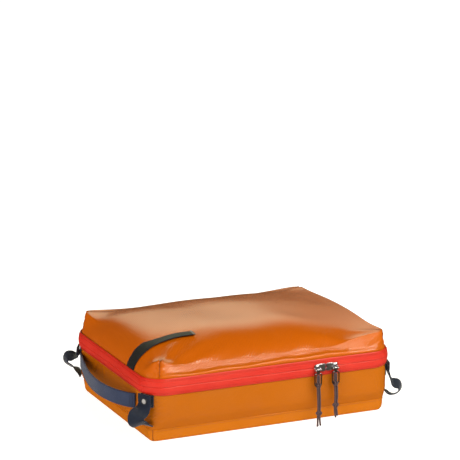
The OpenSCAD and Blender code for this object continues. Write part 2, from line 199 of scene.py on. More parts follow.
def spline(points, steps):
    """A smooth curve through given points."""
    p = np.asarray(points, float)
    n = len(p) - 1
    out = []
    for i in range(n):
        a, b, c, d = p[max(i - 1, 0)], p[i], p[i + 1], p[min(i + 2, n)]
        for t in np.arange(steps) / steps:
            out.append(0.5 * (2 * b + (c - a) * t + (2 * a - 5 * b + 4 * c - d) * t ** 2
                              + (3 * b - a - 3 * c + d) * t ** 3))
    out.append(p[n])
    return np.array(out)


def resample(points, pitch):
    """The same curve in even steps of about pitch."""
    s = path_lengths(points)
    count = max(2, int(round(s[-1] / pitch)) + 1)
    return along_curve(np.linspace(0, s[-1], count), s, points)


def tangents(points):
    t = np.gradient(points, axis=0)
    return t / np.linalg.norm(t, axis=1)[:, None]


def sweep(name, points, across, section):
    """Sweeps a closed section of (across, out) pairs along a curve, with flat ends.

    across is a unit vector per point; out is tangent x across.
    """
    t = tangents(points)
    a = across - (across * t).sum(1)[:, None] * t
    a /= np.linalg.norm(a, axis=1)[:, None]
    out = np.cross(t, a)
    section = np.asarray(section, float)
    rings = points[:, None] + a[:, None] * section[None, :, :1] + out[:, None] * section[None, :, 1:]
    m, n = rings.shape[:2]
    along = path_lengths(points)
    uv = np.stack(np.broadcast_arrays(path_lengths(closed(section))[None, :], along[:, None]), 2)
    faces, uvs = quads(m, n, order=INWARD), quad_uvs(uv, INWARD)
    for i, order in ((0, range(n)), (m - 1, range(n - 1, -1, -1))):
        faces.append(tuple(i * n + j for j in order))
        uvs += [(section[j][0], along[i] + section[j][1]) for j in order]
    return new_object(name, rings.reshape(-1, 3), faces, uvs)


def round_section(radius, sides=12):
    turn = np.linspace(0, 2 * math.pi, sides, endpoint=False)
    return np.stack([radius * np.cos(turn), radius * np.sin(turn)], 1)


def flat_section(width, thickness, steps=4):
    """A webbing section: flat faces and rounded selvedges."""
    r = thickness / 2
    w = width / 2 - r
    turn = np.linspace(-math.pi / 2, math.pi / 2, steps + 1)
    right = [(w + r * math.cos(a), r * math.sin(a)) for a in turn]
    left = [(-w - r * math.cos(a), -r * math.sin(a)) for a in turn]
    inner = np.linspace(w, -w, 9)[1:-1]
    return right + [(x, r) for x in inner] + left + [(x, -r) for x in inner[::-1]]


def tube(name, points, radius, sides=12):
    t = tangents(points)
    side = np.cross(t[0], (0.3, 0.2, 1.0)) if abs(t[0][2]) < 0.9 else np.cross(t[0], (1.0, 0.1, 0.2))
    across = [side / np.linalg.norm(side)]
    for i in range(1, len(points)):
        a = across[-1] - np.dot(across[-1], t[i]) * t[i]
        across.append(a / np.linalg.norm(a))
    return sweep(name, points, np.array(across), round_section(radius, sides))


def join(name, objects):
    """Several new objects as one piece."""
    with bpy.context.temp_override(active_object=objects[0], selected_editable_objects=objects):
        bpy.ops.object.join()
    objects[0].name = name
    return objects[0]


def stitches(name, points, normals, pitch=3.0, length=2.1, radius=0.28):
    """A row of thread stitches: short rounded bars, dug in at both ends.

    Their sizes are in mm. One normal may serve the whole row.
    """
    pitch, length, radius = pitch * MM, length * MM, radius * MM
    normals = np.broadcast_to(normals, points.shape)
    s = path_lengths(points)
    verts, faces = [], []
    circle = round_section(1.0, 6)
    for start in np.arange(pitch / 2, s[-1] - length, pitch):
        faces += [tuple(len(verts) + v for v in face) for face in capped(4, 6)]
        for f, grow, rise in ((0, 0.35, -0.6), (0.2, 1, 0.35), (0.8, 1, 0.35), (1, 0.35, -0.6)):
            at = start + length * f
            p, normal = along_curve(at, s, points), along_curve(at, s, normals)
            along = along_curve(at + 1e-4, s, points) - p
            side = np.cross(along / (np.linalg.norm(along) + 1e-12), normal)
            verts += [p + normal * radius * rise + radius * grow * (side * c + normal * d) for c, d in circle]
    return new_object(name, verts, faces)


# ---- Outlines ----

ARC, ALONG_X, ALONG_Y = 16, 96, 72
CORNER_STARTS = tuple(k * (ARC + 1) + k // 2 * ALONG_X + (k + 1) // 2 * ALONG_Y for k in range(4))


def arc(cx, cy, r, start, steps):
    """A quarter turn about (cx, cy), from start degrees."""
    return [(cx + r * math.cos(a), cy + r * math.sin(a))
            for a in np.radians(np.linspace(start, start + 90, steps + 1))]


def rounded(x0, x1, y0, y1, r, steps=5):
    """A rounded rectangle, anticlockwise from the corner at (x1, y0)."""
    corners = (x1 - r, y0 + r, -90), (x1 - r, y1 - r, 0), (x0 + r, y1 - r, 90), (x0 + r, y0 + r, 180)
    return [point for cx, cy, start in corners for point in arc(cx, cy, r, start, steps)]


def ring(hx, hy, r):
    """A rounded rectangle with points along its sides too, from the front right corner."""
    turns = np.array(rounded(-hx, hx, -hy, hy, r, ARC)).reshape(4, ARC + 1, 2)
    out = []
    for k, (turn, then) in enumerate(zip(turns, np.roll(turns, -1, axis=0))):
        count = ALONG_X if k % 2 else ALONG_Y
        share = np.arange(1, count + 1)[:, None] / (count + 1)
        out += [turn, turn[-1] + (then[0] - turn[-1]) * share]
    return np.vstack(out)


def zip_run(o):
    """The zip's run at offset o, from the back left round the front to the back right."""
    turned = np.roll(ring(HALF_L + o, HALF_D + o, BAND_R + o), -CORNER_STARTS[2], axis=0)
    keep = CORNER_STARTS[3] + ARC + 1
    return np.vstack([[(-HINGE_HALF, HALF_D + o)], turned[:keep], [(HINGE_HALF, HALF_D + o)]])


def smooth_step(x):
    x = np.clip(x, 0, 1)
    return x * x * (3 - 2 * x)


def bump(x, centre, width):
    return np.exp(-((x - centre) / width) ** 2)


# ---- Materials ----


def rgba(value):
    """A socket as it is, or a plain colour with its alpha."""
    return value if isinstance(value, bpy.types.NodeSocket) else (*value, 1)


class Nodes:
    """A short hand for building one node material."""

    def __init__(self, name):
        self.mat = bpy.data.materials.new(name)
        self.mat.use_nodes = True
        self.tree = self.mat.node_tree
        self.shader = self.tree.nodes["Principled BSDF"]

    def put(self, node, socket, value):
        """Links an output, or sets a plain value."""
        if isinstance(value, bpy.types.NodeSocket):
            self.tree.links.new(value, node.inputs[socket])
        else:
            node.inputs[socket].default_value = value

    def add(self, kind, sockets, **settings):
        node = self.tree.nodes.new(kind)
        for key, value in settings.items():
            setattr(node, key, value)
        for socket, value in sockets.items():
            self.put(node, socket, value)
        return node

    def math(self, operation, a, b=0.0):
        return self.add("ShaderNodeMath", {0: a, 1: b}, operation=operation).outputs[0]

    def cloth_uv(self):
        uv = self.add("ShaderNodeUVMap", {}, uv_map="UVMap").outputs[0]
        return self.add("ShaderNodeSeparateXYZ", {0: uv}).outputs[:2]

    def noise(self, scale, detail=3.0, rough=0.5):
        place = self.add("ShaderNodeTexCoord", {}).outputs["Object"]
        sockets = {"Vector": place, "Scale": scale, "Detail": detail, "Roughness": rough}
        return self.add("ShaderNodeTexNoise", sockets).outputs["Fac"]

    def ridge(self, coordinate, pitch, sharp=1.0):
        """0 between the lines and 1 on them, one line every pitch metres."""
        wave = self.math("PINGPONG", self.math("DIVIDE", coordinate, pitch), 0.5)
        return self.math("POWER", self.math("MULTIPLY", wave, 2.0), sharp)

    def crossed(self, u, v, pitch, sharp=1.0):
        """Both sets of diagonal lines."""
        return [self.ridge(self.math(way, u, v), pitch, sharp) for way in ("ADD", "SUBTRACT")]

    def mix(self, factor, a, b):
        """Sockets 6 and 7 are the mix node's two colours, and output 2 is the mixed colour."""
        sockets = {"Factor": factor, 6: rgba(a), 7: rgba(b)}
        return self.add("ShaderNodeMix", sockets, data_type="RGBA").outputs[2]

    def span(self, value, low, high):
        return self.add("ShaderNodeMapRange", {"Value": value, "To Min": low, "To Max": high}).outputs[0]

    def bump(self, height, distance, strength=1.0, under=None):
        sockets = {"Height": height, "Distance": distance, "Strength": strength}
        if under is not None:
            sockets["Normal"] = under
        return self.add("ShaderNodeBump", sockets).outputs[0]

    def set(self, color, **values):
        names = {"roughness": "Roughness", "metallic": "Metallic", "normal": "Normal",
                 "coat": "Coat Weight", "coat_rough": "Coat Roughness", "sheen": "Sheen Weight",
                 "sheen_rough": "Sheen Roughness", "specular": "Specular IOR Level"}
        self.put(self.shader, "Base Color", rgba(color))
        for key, value in values.items():
            self.put(self.shader, names[key], value)
        return self.mat


def coated_cloth(name, light, dark):
    """Glossy film over ripstop: a diamond grid of ribs, fine weave, and faint crumples."""
    n = Nodes(name)
    u, v = n.cloth_uv()
    along, against = n.crossed(u, v, RIPSTOP_PITCH, 1.6)
    ribs = n.math("MAXIMUM", n.math("MULTIPLY", along, 0.45), against)
    weave = n.math("ADD", n.ridge(u, 0.7 * MM), n.ridge(v, 0.7 * MM))
    crumple = n.noise(38.0, 4.0, 0.6)
    normal = n.bump(crumple, 0.6 * MM, 0.4)
    normal = n.bump(weave, 0.03 * MM, 0.4, normal)
    normal = n.bump(ribs, RIPSTOP_DEPTH, 1.0, normal)
    color = n.mix(n.noise(9.0, 2.0), dark, light)
    color = n.mix(n.math("MULTIPLY", ribs, 0.16), color, tuple(c * 0.6 for c in dark))
    dull = n.math("ADD", crumple, n.math("MULTIPLY", ribs, 0.4))
    return n.set(color, roughness=n.span(dull, FILM_ROUGH - 0.05, FILM_ROUGH + 0.12),
                 normal=normal, specular=0.65)


def zip_band_cloth(name, light, dark):
    """Satin zip tape with fine cross ribs and faint wear."""
    n = Nodes(name)
    u, v = n.cloth_uv()
    ribs = n.math("MAXIMUM", *n.crossed(u, v, 1.6 * MM))
    wales = n.ridge(v, 2.2 * MM, 0.7)
    cloud = n.noise(30.0)
    normal = n.bump(n.math("ADD", n.math("MULTIPLY", ribs, 0.4), wales), 0.20 * MM)
    normal = n.bump(cloud, 0.6 * MM, 0.5, normal)
    return n.set(n.mix(n.span(cloud, 0.1, 0.9), dark, light), roughness=n.span(cloud, 0.28, 0.42),
                 normal=normal, sheen=0.03, sheen_rough=0.4, specular=0.55)


def webbing_cloth(name, light, dark):
    """Flat webbing: ribs across, two-tone yarn and a soft sheen. The two tones mix by a random drift and by
    the raised rib lines, which are painted lighter as a highlight.
    """
    n = Nodes(name)
    u, v = n.cloth_uv()
    ribs, yarn = n.ridge(v, 1.15 * MM, 0.8), n.ridge(u, 0.9 * MM, 0.8)
    fuzz = n.noise(260.0)
    normal = n.bump(n.math("ADD", ribs, n.math("MULTIPLY", yarn, 0.45)), 0.16 * MM, 0.9)
    normal = n.bump(fuzz, 0.08 * MM, 0.5, normal)
    # The rib lines are painted lighter, as a painted highlight. The noise adds a random drift in tone.
    rib_highlight_and_tone = n.math("MULTIPLY", n.math("ADD", ribs, n.noise(45.0, 2.0)), 0.5)
    return n.set(n.mix(rib_highlight_and_tone, dark, light), roughness=n.span(fuzz, 0.55, 0.78), normal=normal,
                 sheen=0.35, sheen_rough=0.35, specular=0.35)


def braid_cloth(name, light, dark):
    """Round braided cord: crossing yarns along the length."""
    n = Nodes(name)
    u, v = n.cloth_uv()
    yarn = n.math("MAXIMUM", *n.crossed(n.math("MULTIPLY", u, 1.3), v, 1.3 * MM))
    fuzz = n.noise(500.0, 2.0)
    normal = n.bump(n.math("ADD", yarn, n.math("MULTIPLY", fuzz, 0.3)), 0.14 * MM, 0.9)
    return n.set(n.mix(yarn, dark, light), roughness=n.span(fuzz, 0.5, 0.75), normal=normal,
                 sheen=0.3, sheen_rough=0.4, specular=0.35)


def label_cloth(name, light, dark):
    """Dense satin weave, nearly black."""
    n = Nodes(name)
    u, v = n.cloth_uv()
    weave = n.math("ADD", n.ridge(u, 0.55 * MM), n.math("MULTIPLY", n.ridge(v, 0.4 * MM), 0.6))
    fuzz = n.noise(150.0, 2.0)
    return n.set(n.mix(fuzz, dark, light), roughness=n.span(fuzz, 0.46, 0.6),
                 normal=n.bump(weave, 0.05 * MM, 0.6), sheen=0.04, sheen_rough=0.4, specular=0.24)


def cast_metal(name, light, dark, polish):
    """Plated die casting: bright, with faint ripples and duller spots at random."""
    n = Nodes(name)
    grain = n.noise(420.0, 4.0, 0.6)
    return n.set(n.mix(grain, dark, light), metallic=1.0, roughness=n.span(grain, polish, polish + 0.16),
                 normal=n.bump(n.noise(90.0, 2.0), 0.12 * MM, 0.6))


def moulded(name, light, dark, polish):
    """Moulded plastic: fine orange-peel, small colour drift."""
    n = Nodes(name)
    peel = n.noise(600.0, 2.0)
    return n.set(n.mix(n.noise(60.0, 2.0), dark, light), roughness=n.span(peel, polish, polish + 0.1),
                 normal=n.bump(peel, 0.03 * MM, 0.5), coat=0.3, coat_rough=0.1, specular=0.5)


def thread(name, light, dark):
    """Sewing thread with a twist."""
    n = Nodes(name)
    twist = n.noise(900.0, 2.0)
    return n.set(n.mix(twist, dark, light), roughness=n.span(twist, 0.45, 0.6),
                 normal=n.bump(twist, 0.05 * MM, 0.6), specular=0.4)


RIPSTOP_PITCH = 4.2 * MM
RIPSTOP_DEPTH = 0.21 * MM
FILM_ROUGH = 0.14
CLOTH = coated_cloth("coated_cloth", (0.60, 0.121, 0.0008), (0.53, 0.101, 0.0005))
# The wall and the tray use the lid's cloth again, in copies whose colours are shifted apart to stand in for
# the light each gets: painted light and shade. The wall is yellower and less red than the lid, and the tray
# is lighter.
WALL = coated_cloth("wall_cloth", (0.52, 0.136, 0.0008), (0.455, 0.110, 0.0005))
TRAY = coated_cloth("tray_cloth", (0.60, 0.166, 0.0008), (0.53, 0.142, 0.0005))
ZIP = zip_band_cloth("zip_tape", (0.72, 0.034, 0.014), (0.54, 0.008, 0.003))
COIL = moulded("zip_coil", (0.60, 0.025, 0.010), (0.45, 0.015, 0.006), 0.35)
WEBBING = webbing_cloth("webbing", (0.050, 0.071, 0.155), (0.012, 0.018, 0.045))
LOOP_WEBBING = webbing_cloth("loop_webbing", (0.019, 0.027, 0.056), (0.005, 0.008, 0.018))
BINDING = webbing_cloth("binding_tape", (0.050, 0.060, 0.110), (0.018, 0.022, 0.045))
CORD = braid_cloth("pull_cord", (0.100, 0.058, 0.070), (0.026, 0.015, 0.020))
LABEL = label_cloth("label", (0.020, 0.020, 0.021), (0.010, 0.010, 0.011))
LABEL_BACK = label_cloth("label_back", (0.32, 0.30, 0.28), (0.24, 0.22, 0.21))
SLIDER = cast_metal("slider_metal", (0.84, 0.80, 0.90), (0.66, 0.62, 0.72), 0.26)
WIRE = cast_metal("pull_wire", (0.42, 0.42, 0.44), (0.24, 0.24, 0.26), 0.24)
SNAP = moulded("snap", (0.045, 0.048, 0.060), (0.028, 0.030, 0.040), 0.12)
# Light grey for the snap's dome: a painted highlight on the dark snap.
SNAP_DOME_HIGHLIGHT = moulded("snap_dome_highlight", (0.48, 0.48, 0.50), (0.36, 0.36, 0.38), 0.14)
ORANGE_THREAD = thread("orange_thread", (0.50, 0.115, 0.006), (0.30, 0.060, 0.003))
# Dark brown thread on real sewn seams. Its darkness is a painted shade for the grooves the seams lie in.
SEAM_SHADE_THREAD = thread("seam_thread_painted_shade", (0.16, 0.030, 0.003), (0.08, 0.014, 0.002))
RED_THREAD = thread("red_thread", (0.55, 0.020, 0.008), (0.36, 0.010, 0.004))
NAVY_THREAD = thread("navy_thread", (0.030, 0.042, 0.100), (0.010, 0.014, 0.040))


def finish(obj, material, body=None):
    obj.data.materials.clear()
    obj.data.materials.append(material)
    if body is not None:
        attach(obj, body)
    return obj


# ---- Cords ----

# Each strand's middle, from the hitch down to its bare end, in mm.
CORD_ROUTES = {
    "cord_left_a": (
        (61.55, -145.2, 50), (61.75, -145.2, 46.5), (61.95, -145.2, 42.5), (62.25, -145.1, 38),
        (62.45, -145.1, 33.5), (62.65, -145, 29), (62.75, -145, 24.5), (62.75, -145, 20),
        (62.45, -145, 16), (62.15, -145.3, 12.4), (61.65, -146.2, 9), (60.85, -147.6, 6.2),
        (59.85, -149.6, 3.9), (58.75, -151.9, 2.3), (57.55, -154.2, 1.5), (56.35, -156.4, 1.4)),
    "cord_left_b": (
        (64.45, -145.2, 50), (64.65, -145.2, 46.5), (64.85, -145.2, 42.5), (65.15, -145.1, 38),
        (65.25, -145.1, 33.5), (65.45, -145, 29), (65.45, -145, 24.5), (65.35, -145, 20),
        (65.15, -145, 16), (64.85, -145.3, 12.4), (64.45, -146.3, 9), (63.95, -147.8, 6.1),
        (63.25, -149.9, 3.6), (62.45, -152.2, 2), (61.65, -154.5, 1.4)),
    "cord_right_a": (
        (87.45, -145.2, 50), (87.65, -145.2, 47), (87.85, -145.2, 43.8), (88.05, -145.1, 40.5),
        (88.15, -145.1, 37.2), (88.15, -145.1, 34), (88.05, -145, 30.8), (87.85, -145, 27.6),
        (87.65, -145, 24.4), (87.45, -145, 21.2), (87.45, -145.1, 18), (87.65, -145.2, 15),
        (87.95, -145.3, 12), (88.35, -145.5, 9), (88.85, -145.7, 6)),
    "cord_right_b": (
        (90.35, -145.2, 50), (90.55, -145.2, 47), (90.75, -145.2, 43.8), (90.95, -145.1, 40.5),
        (91.05, -145.1, 37.2), (91.05, -145.1, 34), (90.85, -145, 30.8), (90.65, -145, 27.6),
        (90.45, -145, 24.4), (90.25, -145, 21.2), (90.15, -145.1, 18.4), (90.25, -145.3, 15.8),
        (90.45, -145.5, 13.2), (90.75, -145.7, 10.8), (91.15, -145.9, 8.4)),
}
KNOTS = {"left": (63.8, -145.0, 14.2), "right": (88.8, -145.0, 23.0)}


def knot(side):
    """An overhand knot: a cord's trefoil, flattened and pulled tight round the strands."""
    turn = np.linspace(0, 2 * math.pi, 61)
    x = (np.sin(turn) + 2 * np.sin(2 * turn)) * 1.12
    z = (np.cos(turn) - 2 * np.cos(2 * turn)) * 1.35
    y = -np.sin(3 * turn) * 1.3
    loop = np.stack([x, y, z], 1) * MM + np.array(KNOTS[side]) * MM
    piece = tube("knot_" + side, loop, CORD_D * 0.5, 10)
    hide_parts("cord_knot_" + side)
    return finish(piece, CORD, "pull_" + side)


def hitch(side):
    """The doubled cord: a wrap for each strand round the frame's foot, and the bight up inside the frame."""
    low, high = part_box("cord_hitch_" + side)
    radius = 1.3 * MM + CORD_D / 2
    foot = np.array(((low.x + high.x) / 2, (low.y + high.y) / 2, low.z + CORD_D / 2 + radius))
    half = 1.4 * MM
    turn = np.linspace(-0.5 * math.pi, 1.35 * math.pi, 33)
    wraps = []
    for k, shift in enumerate((-half, half)):
        loop = np.stack([np.full_like(turn, shift), -radius * np.cos(turn), radius * np.sin(turn)], 1) + foot
        wraps.append(tube(f"wrap_{side}_{k}", loop, CORD_D / 2))
    arch_z = high.z - foot[2] - CORD_D / 2 - half
    rise = [(-half, radius), (-half, arch_z / 2)]
    rise += [(-half * math.cos(a), arch_z + half * math.sin(a)) for a in np.linspace(0, math.pi, 9)]
    rise += [(half, arch_z / 2), (half, radius)]
    bight = resample(np.array([(dx, 0, dz) for dx, dz in rise]) + foot, 0.5 * MM)
    wraps.append(tube("bight_" + side, bight, CORD_D / 2))
    piece = join("cord_wrap_" + side, wraps)
    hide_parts("cord_hitch_" + side)
    finish(piece, CORD, "pull_" + side)


def make_cords():
    for side in ("left", "right"):
        knot_piece = knot(side)
        hitch(side)
        for strand in ("a", "b"):
            node = f"cord_{side}_{strand}"
            route = np.array(CORD_ROUTES[node]) * MM
            line = spline(route, 3)
            piece = tube(f"strand_{side}_{strand}", line, CORD_D / 2)
            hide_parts(node)
            finish(piece, CORD, "pull_" + side)


make_cords()

# ---- Base ----


def case_ring(inset, r, z):
    """One ring of the case below the zip: its inset, its corners' radius and its height, in mm."""
    return lift(ring(HALF_L - 0.8 * inset * MM, HALF_D - 1.15 * inset * MM, r * MM), z * MM)


def grid_normals(points, wrap=True):
    """Outward normals of a grid of rings, where i goes up and j goes anticlockwise."""
    up = np.gradient(points, axis=0)
    if wrap:
        side = (np.roll(points, -1, 1) - np.roll(points, 1, 1)) / 2
    else:
        side = np.gradient(points, axis=1)
    normal = np.cross(side, up)
    return normal / np.maximum(np.linalg.norm(normal, axis=2), 1e-12)[..., None]


def loft_uv(points, wrap=True):
    """Distance round and distance up, for each point of a grid of rings."""
    middle = points[len(points) // 2]
    u = path_lengths(closed(middle) if wrap else middle)
    rise = np.linalg.norm(np.diff(points, axis=0), axis=2).mean(1)
    v = np.concatenate([[0], np.cumsum(rise)])
    return np.stack(np.broadcast_arrays(u[None, :], v[:, None]), 2)


def seam_rope(name, line, radius):
    """A sewn seam's ridge, on the case or the lid."""
    return tube(name, resample(line, 1.2 * MM), radius, 8)


def make_tray():
    side = spline([(14, 8, 0), (12.6, 8.4, 0.9), (10.9, 9.6, 4), (9.5, 11.8, 10.5), (8.5, 13.5, 15),
                   (7.85, 14.1, 17.3)], 4)
    rings = [case_ring(*row) for row in side]
    rim = [case_ring(8.0, 13.9, 17.6), case_ring(9.2, 12.8, 17.4)]
    floor = [rings[0] * (k, k, 1) + (0, 0, 0.35 * MM * (1 - k)) for k in (0.03, 0.25, 0.5, 0.75, 0.9, 0.97)]
    flat, top = len(floor), len(floor) + len(rings)
    points = np.array(floor + rings + rim)
    x, y, z = np.moveaxis(points, -1, 0)
    height = np.clip(z / TRAY_H, 0, 1)
    wave = 0.5 * np.sin(x / (19 * MM) + 1.3 * np.sin(y / (31 * MM))) + 0.5 * np.sin(y / (23 * MM) + 0.7)
    points = points + grid_normals(points) * (0.45 * MM * wave * np.sin(math.pi * height))[..., None]
    for cx, cy in QUADRANTS:
        corner = np.hypot(x - cx * (HALF_L - 10 * MM), y - cy * (HALF_D - 13 * MM))
        turn = np.degrees(np.arctan2(y * cy - (HALF_D - 24 * MM), x * cx - (HALF_L - 21 * MM)))
        pinch = np.exp(-(corner / (9 * MM)) ** 2) * np.sin(math.pi * np.clip(0.12 + 0.8 * height, 0, 1))
        fold = bump(turn, 45, 5) * smooth_step((13 * MM - corner) / (4 * MM)) * (height > 0.04)
        away = np.stack([np.full_like(x, cx), np.full_like(y, cy), np.zeros_like(z)], 2)
        points = points + away * (0.7 * MM * (0.9 * pinch - 1.5 * fold))[..., None]
    uv = loft_uv(points)
    uv[:flat] = np.concatenate([points[:flat, :, :2], points[:flat, :1, :2]], 1)
    points[..., 2] = np.maximum(points[..., 2], 0.02 * MM)
    piece = closed_grid("tray_shell", points, uv, 0)
    solidify(piece, CLOTH_T)
    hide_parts("bottom_tray")
    finish(piece, TRAY, "base")
    row, normals = closed(points[top - 4]), closed(grid_normals(points)[top - 4])
    seam = stitches("tray_stitches", row + normals * 0.12 * MM, normals)
    finish(seam, ORANGE_THREAD, "base")
    for k, start in enumerate(CORNER_STARTS):
        # The tray's corner seams: their dark thread paints the shade along each corner crease.
        seam = seam_rope(f"tray_corner_seam_{k}", points[flat + 2:top, start + ARC // 2], 0.42 * MM)
        finish(seam, SEAM_SHADE_THREAD, "base")


def make_wall():
    rows = spline([(12.2, 10.6, 9), (10.9, 12.2, 15), (10.1, 12.8, 16.8), (8.3, 13.8, 17.65),
                   (7.75, 14.4, 18.4), (4.6, 20, 24.5), (1.7, 26, 31), (0.8, 30.4, 38), (0.6, 31.3, 46),
                   (0.8, 31.3, 57), (1, 31.3, 65.9), (1.1, 31.3, 68.9)], 4)
    points = np.array([case_ring(*row) for row in rows])
    x, y, z = np.moveaxis(points / MM, -1, 0)
    free = smooth_step((z - 19) / 14) * smooth_step((66 - z) / 12)
    out = 0.55 * np.sin(x / 33 + 0.6 * np.sin(z / 12)) * np.sin(y / 41 + 1.1) * free
    out += 0.35 * np.sin(x / 12.5 + z / 9 + 1.4 * np.sin(x / 29)) * free * smooth_step((np.abs(x) - 60) / 80)
    rng = np.random.default_rng(11)
    for _ in range(26):
        cx = rng.uniform(-170, 170)
        near = (np.sign(y) == rng.choice((-1, 1))) & (np.abs(y) > 110)
        lean, width, tall = rng.uniform(-0.5, 0.5), rng.uniform(3, 7), rng.uniform(8, 18)
        cz = rng.choice((24, 62)) + rng.uniform(-5, 5)
        size = rng.uniform(-0.45, 0.3)
        out += near * size * bump(x, cx + lean * (z - cz), width) * bump(z, cz, tall) * free
    left = x < -170                                    # creases in the handle's end
    crease = 0.55 * bump(y, 24.5, 3) - 1.3 * bump(y, 21 + 0.10 * (z - 55), 1.5)
    out += left * crease * smooth_step((z - 43) / 6)
    out += left * -0.9 * bump(y, 60 - 0.8 * (z - 50), 4) * bump(z, 52, 12)
    out += left * -0.8 * bump(z, 34 + 0.06 * y, 3.5) * bump(y, -30, 50)
    for cx, cy in QUADRANTS:
        corner = np.hypot(x - cx * 170, y - cy * 128)
        out += -0.5 * np.exp(-(corner / 16) ** 2) * np.sin(z / 4.2 + cx) * bump(z, 26, 9)
    points = points + grid_normals(points) * (out * MM)[..., None]
    piece = grid("wall_shell", points, loft_uv(points), wrap=True)
    solidify(piece, CLOTH_T)
    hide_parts("side_wall")
    finish(piece, WALL, "base")


# ---- Zip ----


def along_zip(name, profile, wobble=0.0):
    """A strip along the zip's run. profile is (offset, height) pairs in mm, bottom first."""
    points = np.array([lift(zip_run(o * MM), z * MM) for o, z in profile])
    if wobble:
        x, y, z = np.moveaxis(points / MM, -1, 0)
        run = lift(points[0][:, :2], 0)
        t = tangents(run)
        outward = np.column_stack([-t[:, 1], t[:, 0], t[:, 2]])
        outward *= np.sign((outward * run).sum(1))[:, None]
        belly = 1.8 * smooth_step((np.abs(x) - 140) / 35) * (1 - ((z - BAND_MID) / BAND_HALF) ** 2)
        around = np.sin(x / 17 + 1.7 * np.sin(y / 23)) + 0.6 * np.sin(x / 7.3 + y / 11)
        points = points + outward[None] * ((belly + wobble * around) * MM)[..., None]
    return points, grid(name, points, loft_uv(points, wrap=False))


BAND_ROWS = 9
BAND_STITCH = (2.8, 1.9, 0.22)        # mm: pitch, length and radius


def zip_face(sign):
    """Half of the band's convex face, as (offset, height): sign is -1 below the middle and 1 above."""
    depths = np.linspace(BAND_HALF, 0.16, BAND_ROWS)
    rows = [(0.1 + 0.9 * (1 - (d / BAND_HALF) ** 2), BAND_MID + sign * d) for d in depths]
    rows += [(0.85, BAND_MID + sign * 0.10), (0.30, BAND_MID + sign * 0.12)]
    return rows if sign < 0 else rows[::-1]


def make_zip():
    for sign, body, name, node in ((-1, "base", "band_lower", "zip_tape_lower"),
                                   (1, "lid", "band_upper", "zip_tape_upper")):
        points, piece = along_zip(name, zip_face(sign), 0.14)
        solidify(piece, 0.7 * MM)
        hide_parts(node)
        finish(piece, ZIP, body)
        rows = points[..., 2].mean(1)
        for k, depth in enumerate((1.7, 3.5)):
            level = (BAND_MID + sign * (BAND_HALF - depth)) * MM
            i = int(np.argmin(np.abs(rows - level)))
            normal = grid_normals(points, wrap=False)[i]
            line = points[i] + normal * 0.1 * MM
            line[:, 2] += level - rows[i]
            seam = stitches(f"{name}_stitches_{k}", line, normal, *BAND_STITCH)
            finish(seam, RED_THREAD, body)
        make_coil("coil_lower" if sign < 0 else "coil_upper", body)
        make_binding("wall" if sign < 0 else "lid", body)
    make_hinge_strip()


def make_coil(name, body):
    """The nylon coil behind one tape: a helix along the run."""
    low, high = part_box("zip_" + name)
    radius, wire, pitch = (high.z - low.z) / 2, 0.36 * MM, 1.9 * MM
    run = resample(lift(zip_run(high.y - radius - HALF_D), (high.z + low.z) / 2), 0.24 * MM)
    t = tangents(run)
    out = np.column_stack([t[:, 1], -t[:, 0], np.zeros(len(t))])
    turn = 2 * math.pi * path_lengths(run)[:, None] / pitch
    across = np.cos(turn) * out + np.sin(turn) * np.array((0, 0, 1))
    piece = sweep(name, run + (radius - wire) * across, across, round_section(wire, 5))
    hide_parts("zip_" + name)
    finish(piece, COIL, body)


def make_binding(edge, body):
    """The bound inside edge: tape folded over, along the zip's run."""
    low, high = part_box(edge + "_binding")
    outer = (high.y - HALF_D) / MM
    z0, z1, thick = low.z / MM, high.z / MM, 0.7
    inner, middle = outer - thick, outer - thick / 2
    side = np.linspace(z0 + 0.35, z1 - 0.35, 6)
    loop = [(outer - 0.1, z) for z in side]
    loop += [(outer - 0.2, z1 - 0.08), (middle, z1), (inner + 0.15, z1 - 0.08)]
    loop += [(inner, z) for z in side[::-1]]
    loop += [(inner + 0.15, z0 + 0.08), (middle, z0), (outer - 0.2, z0 + 0.08), loop[0]]
    piece = along_zip(edge + "_edge_tape", loop)[1]
    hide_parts(edge + "_binding")
    finish(piece, BINDING, body)


def make_hinge_strip():
    """The plain stretch of the band at the back."""
    rows = zip_face(-1)[:BAND_ROWS] + zip_face(1)[2:]
    xs = np.linspace(HINGE_HALF, -HINGE_HALF, 90)
    points = np.array([[(x, HALF_D + o * MM, z * MM) for x in xs] for o, z in rows])
    points[..., 1] += 0.12 * MM * np.sin(points[..., 0] / (14 * MM))
    piece = grid("hinge_band", points, loft_uv(points, wrap=False))
    solidify(piece, 0.7 * MM)
    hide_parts("hinge_strip_lower", "hinge_strip_upper")
    finish(piece, ZIP)
    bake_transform(piece)
    for sign, body in ((-1, "base"), (1, "lid")):
        line = np.array([(x, HALF_D + 0.42 * MM, ZIP_Z + sign * 9.6 * MM) for x in xs])
        seam = stitches(f"hinge_stitches_{body}", line, (0.0, 1.0, 0.0), *BAND_STITCH)
        finish(seam, RED_THREAD, body)


# ---- Lid ----


def lid_height(x, y):
    """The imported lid's top panel."""
    u = np.minimum(1, np.abs(x) / LID_HALF_L)
    v = np.minimum(1, np.abs(y) / LID_HALF_D)
    return (LID_CORNER_Z + LID_DOME * (1 - u * u) * (1 - v * v)
            + LID_EDGE_RISE * ((1 - u * u) * v ** 8 + (1 - v * v) * u ** 8))


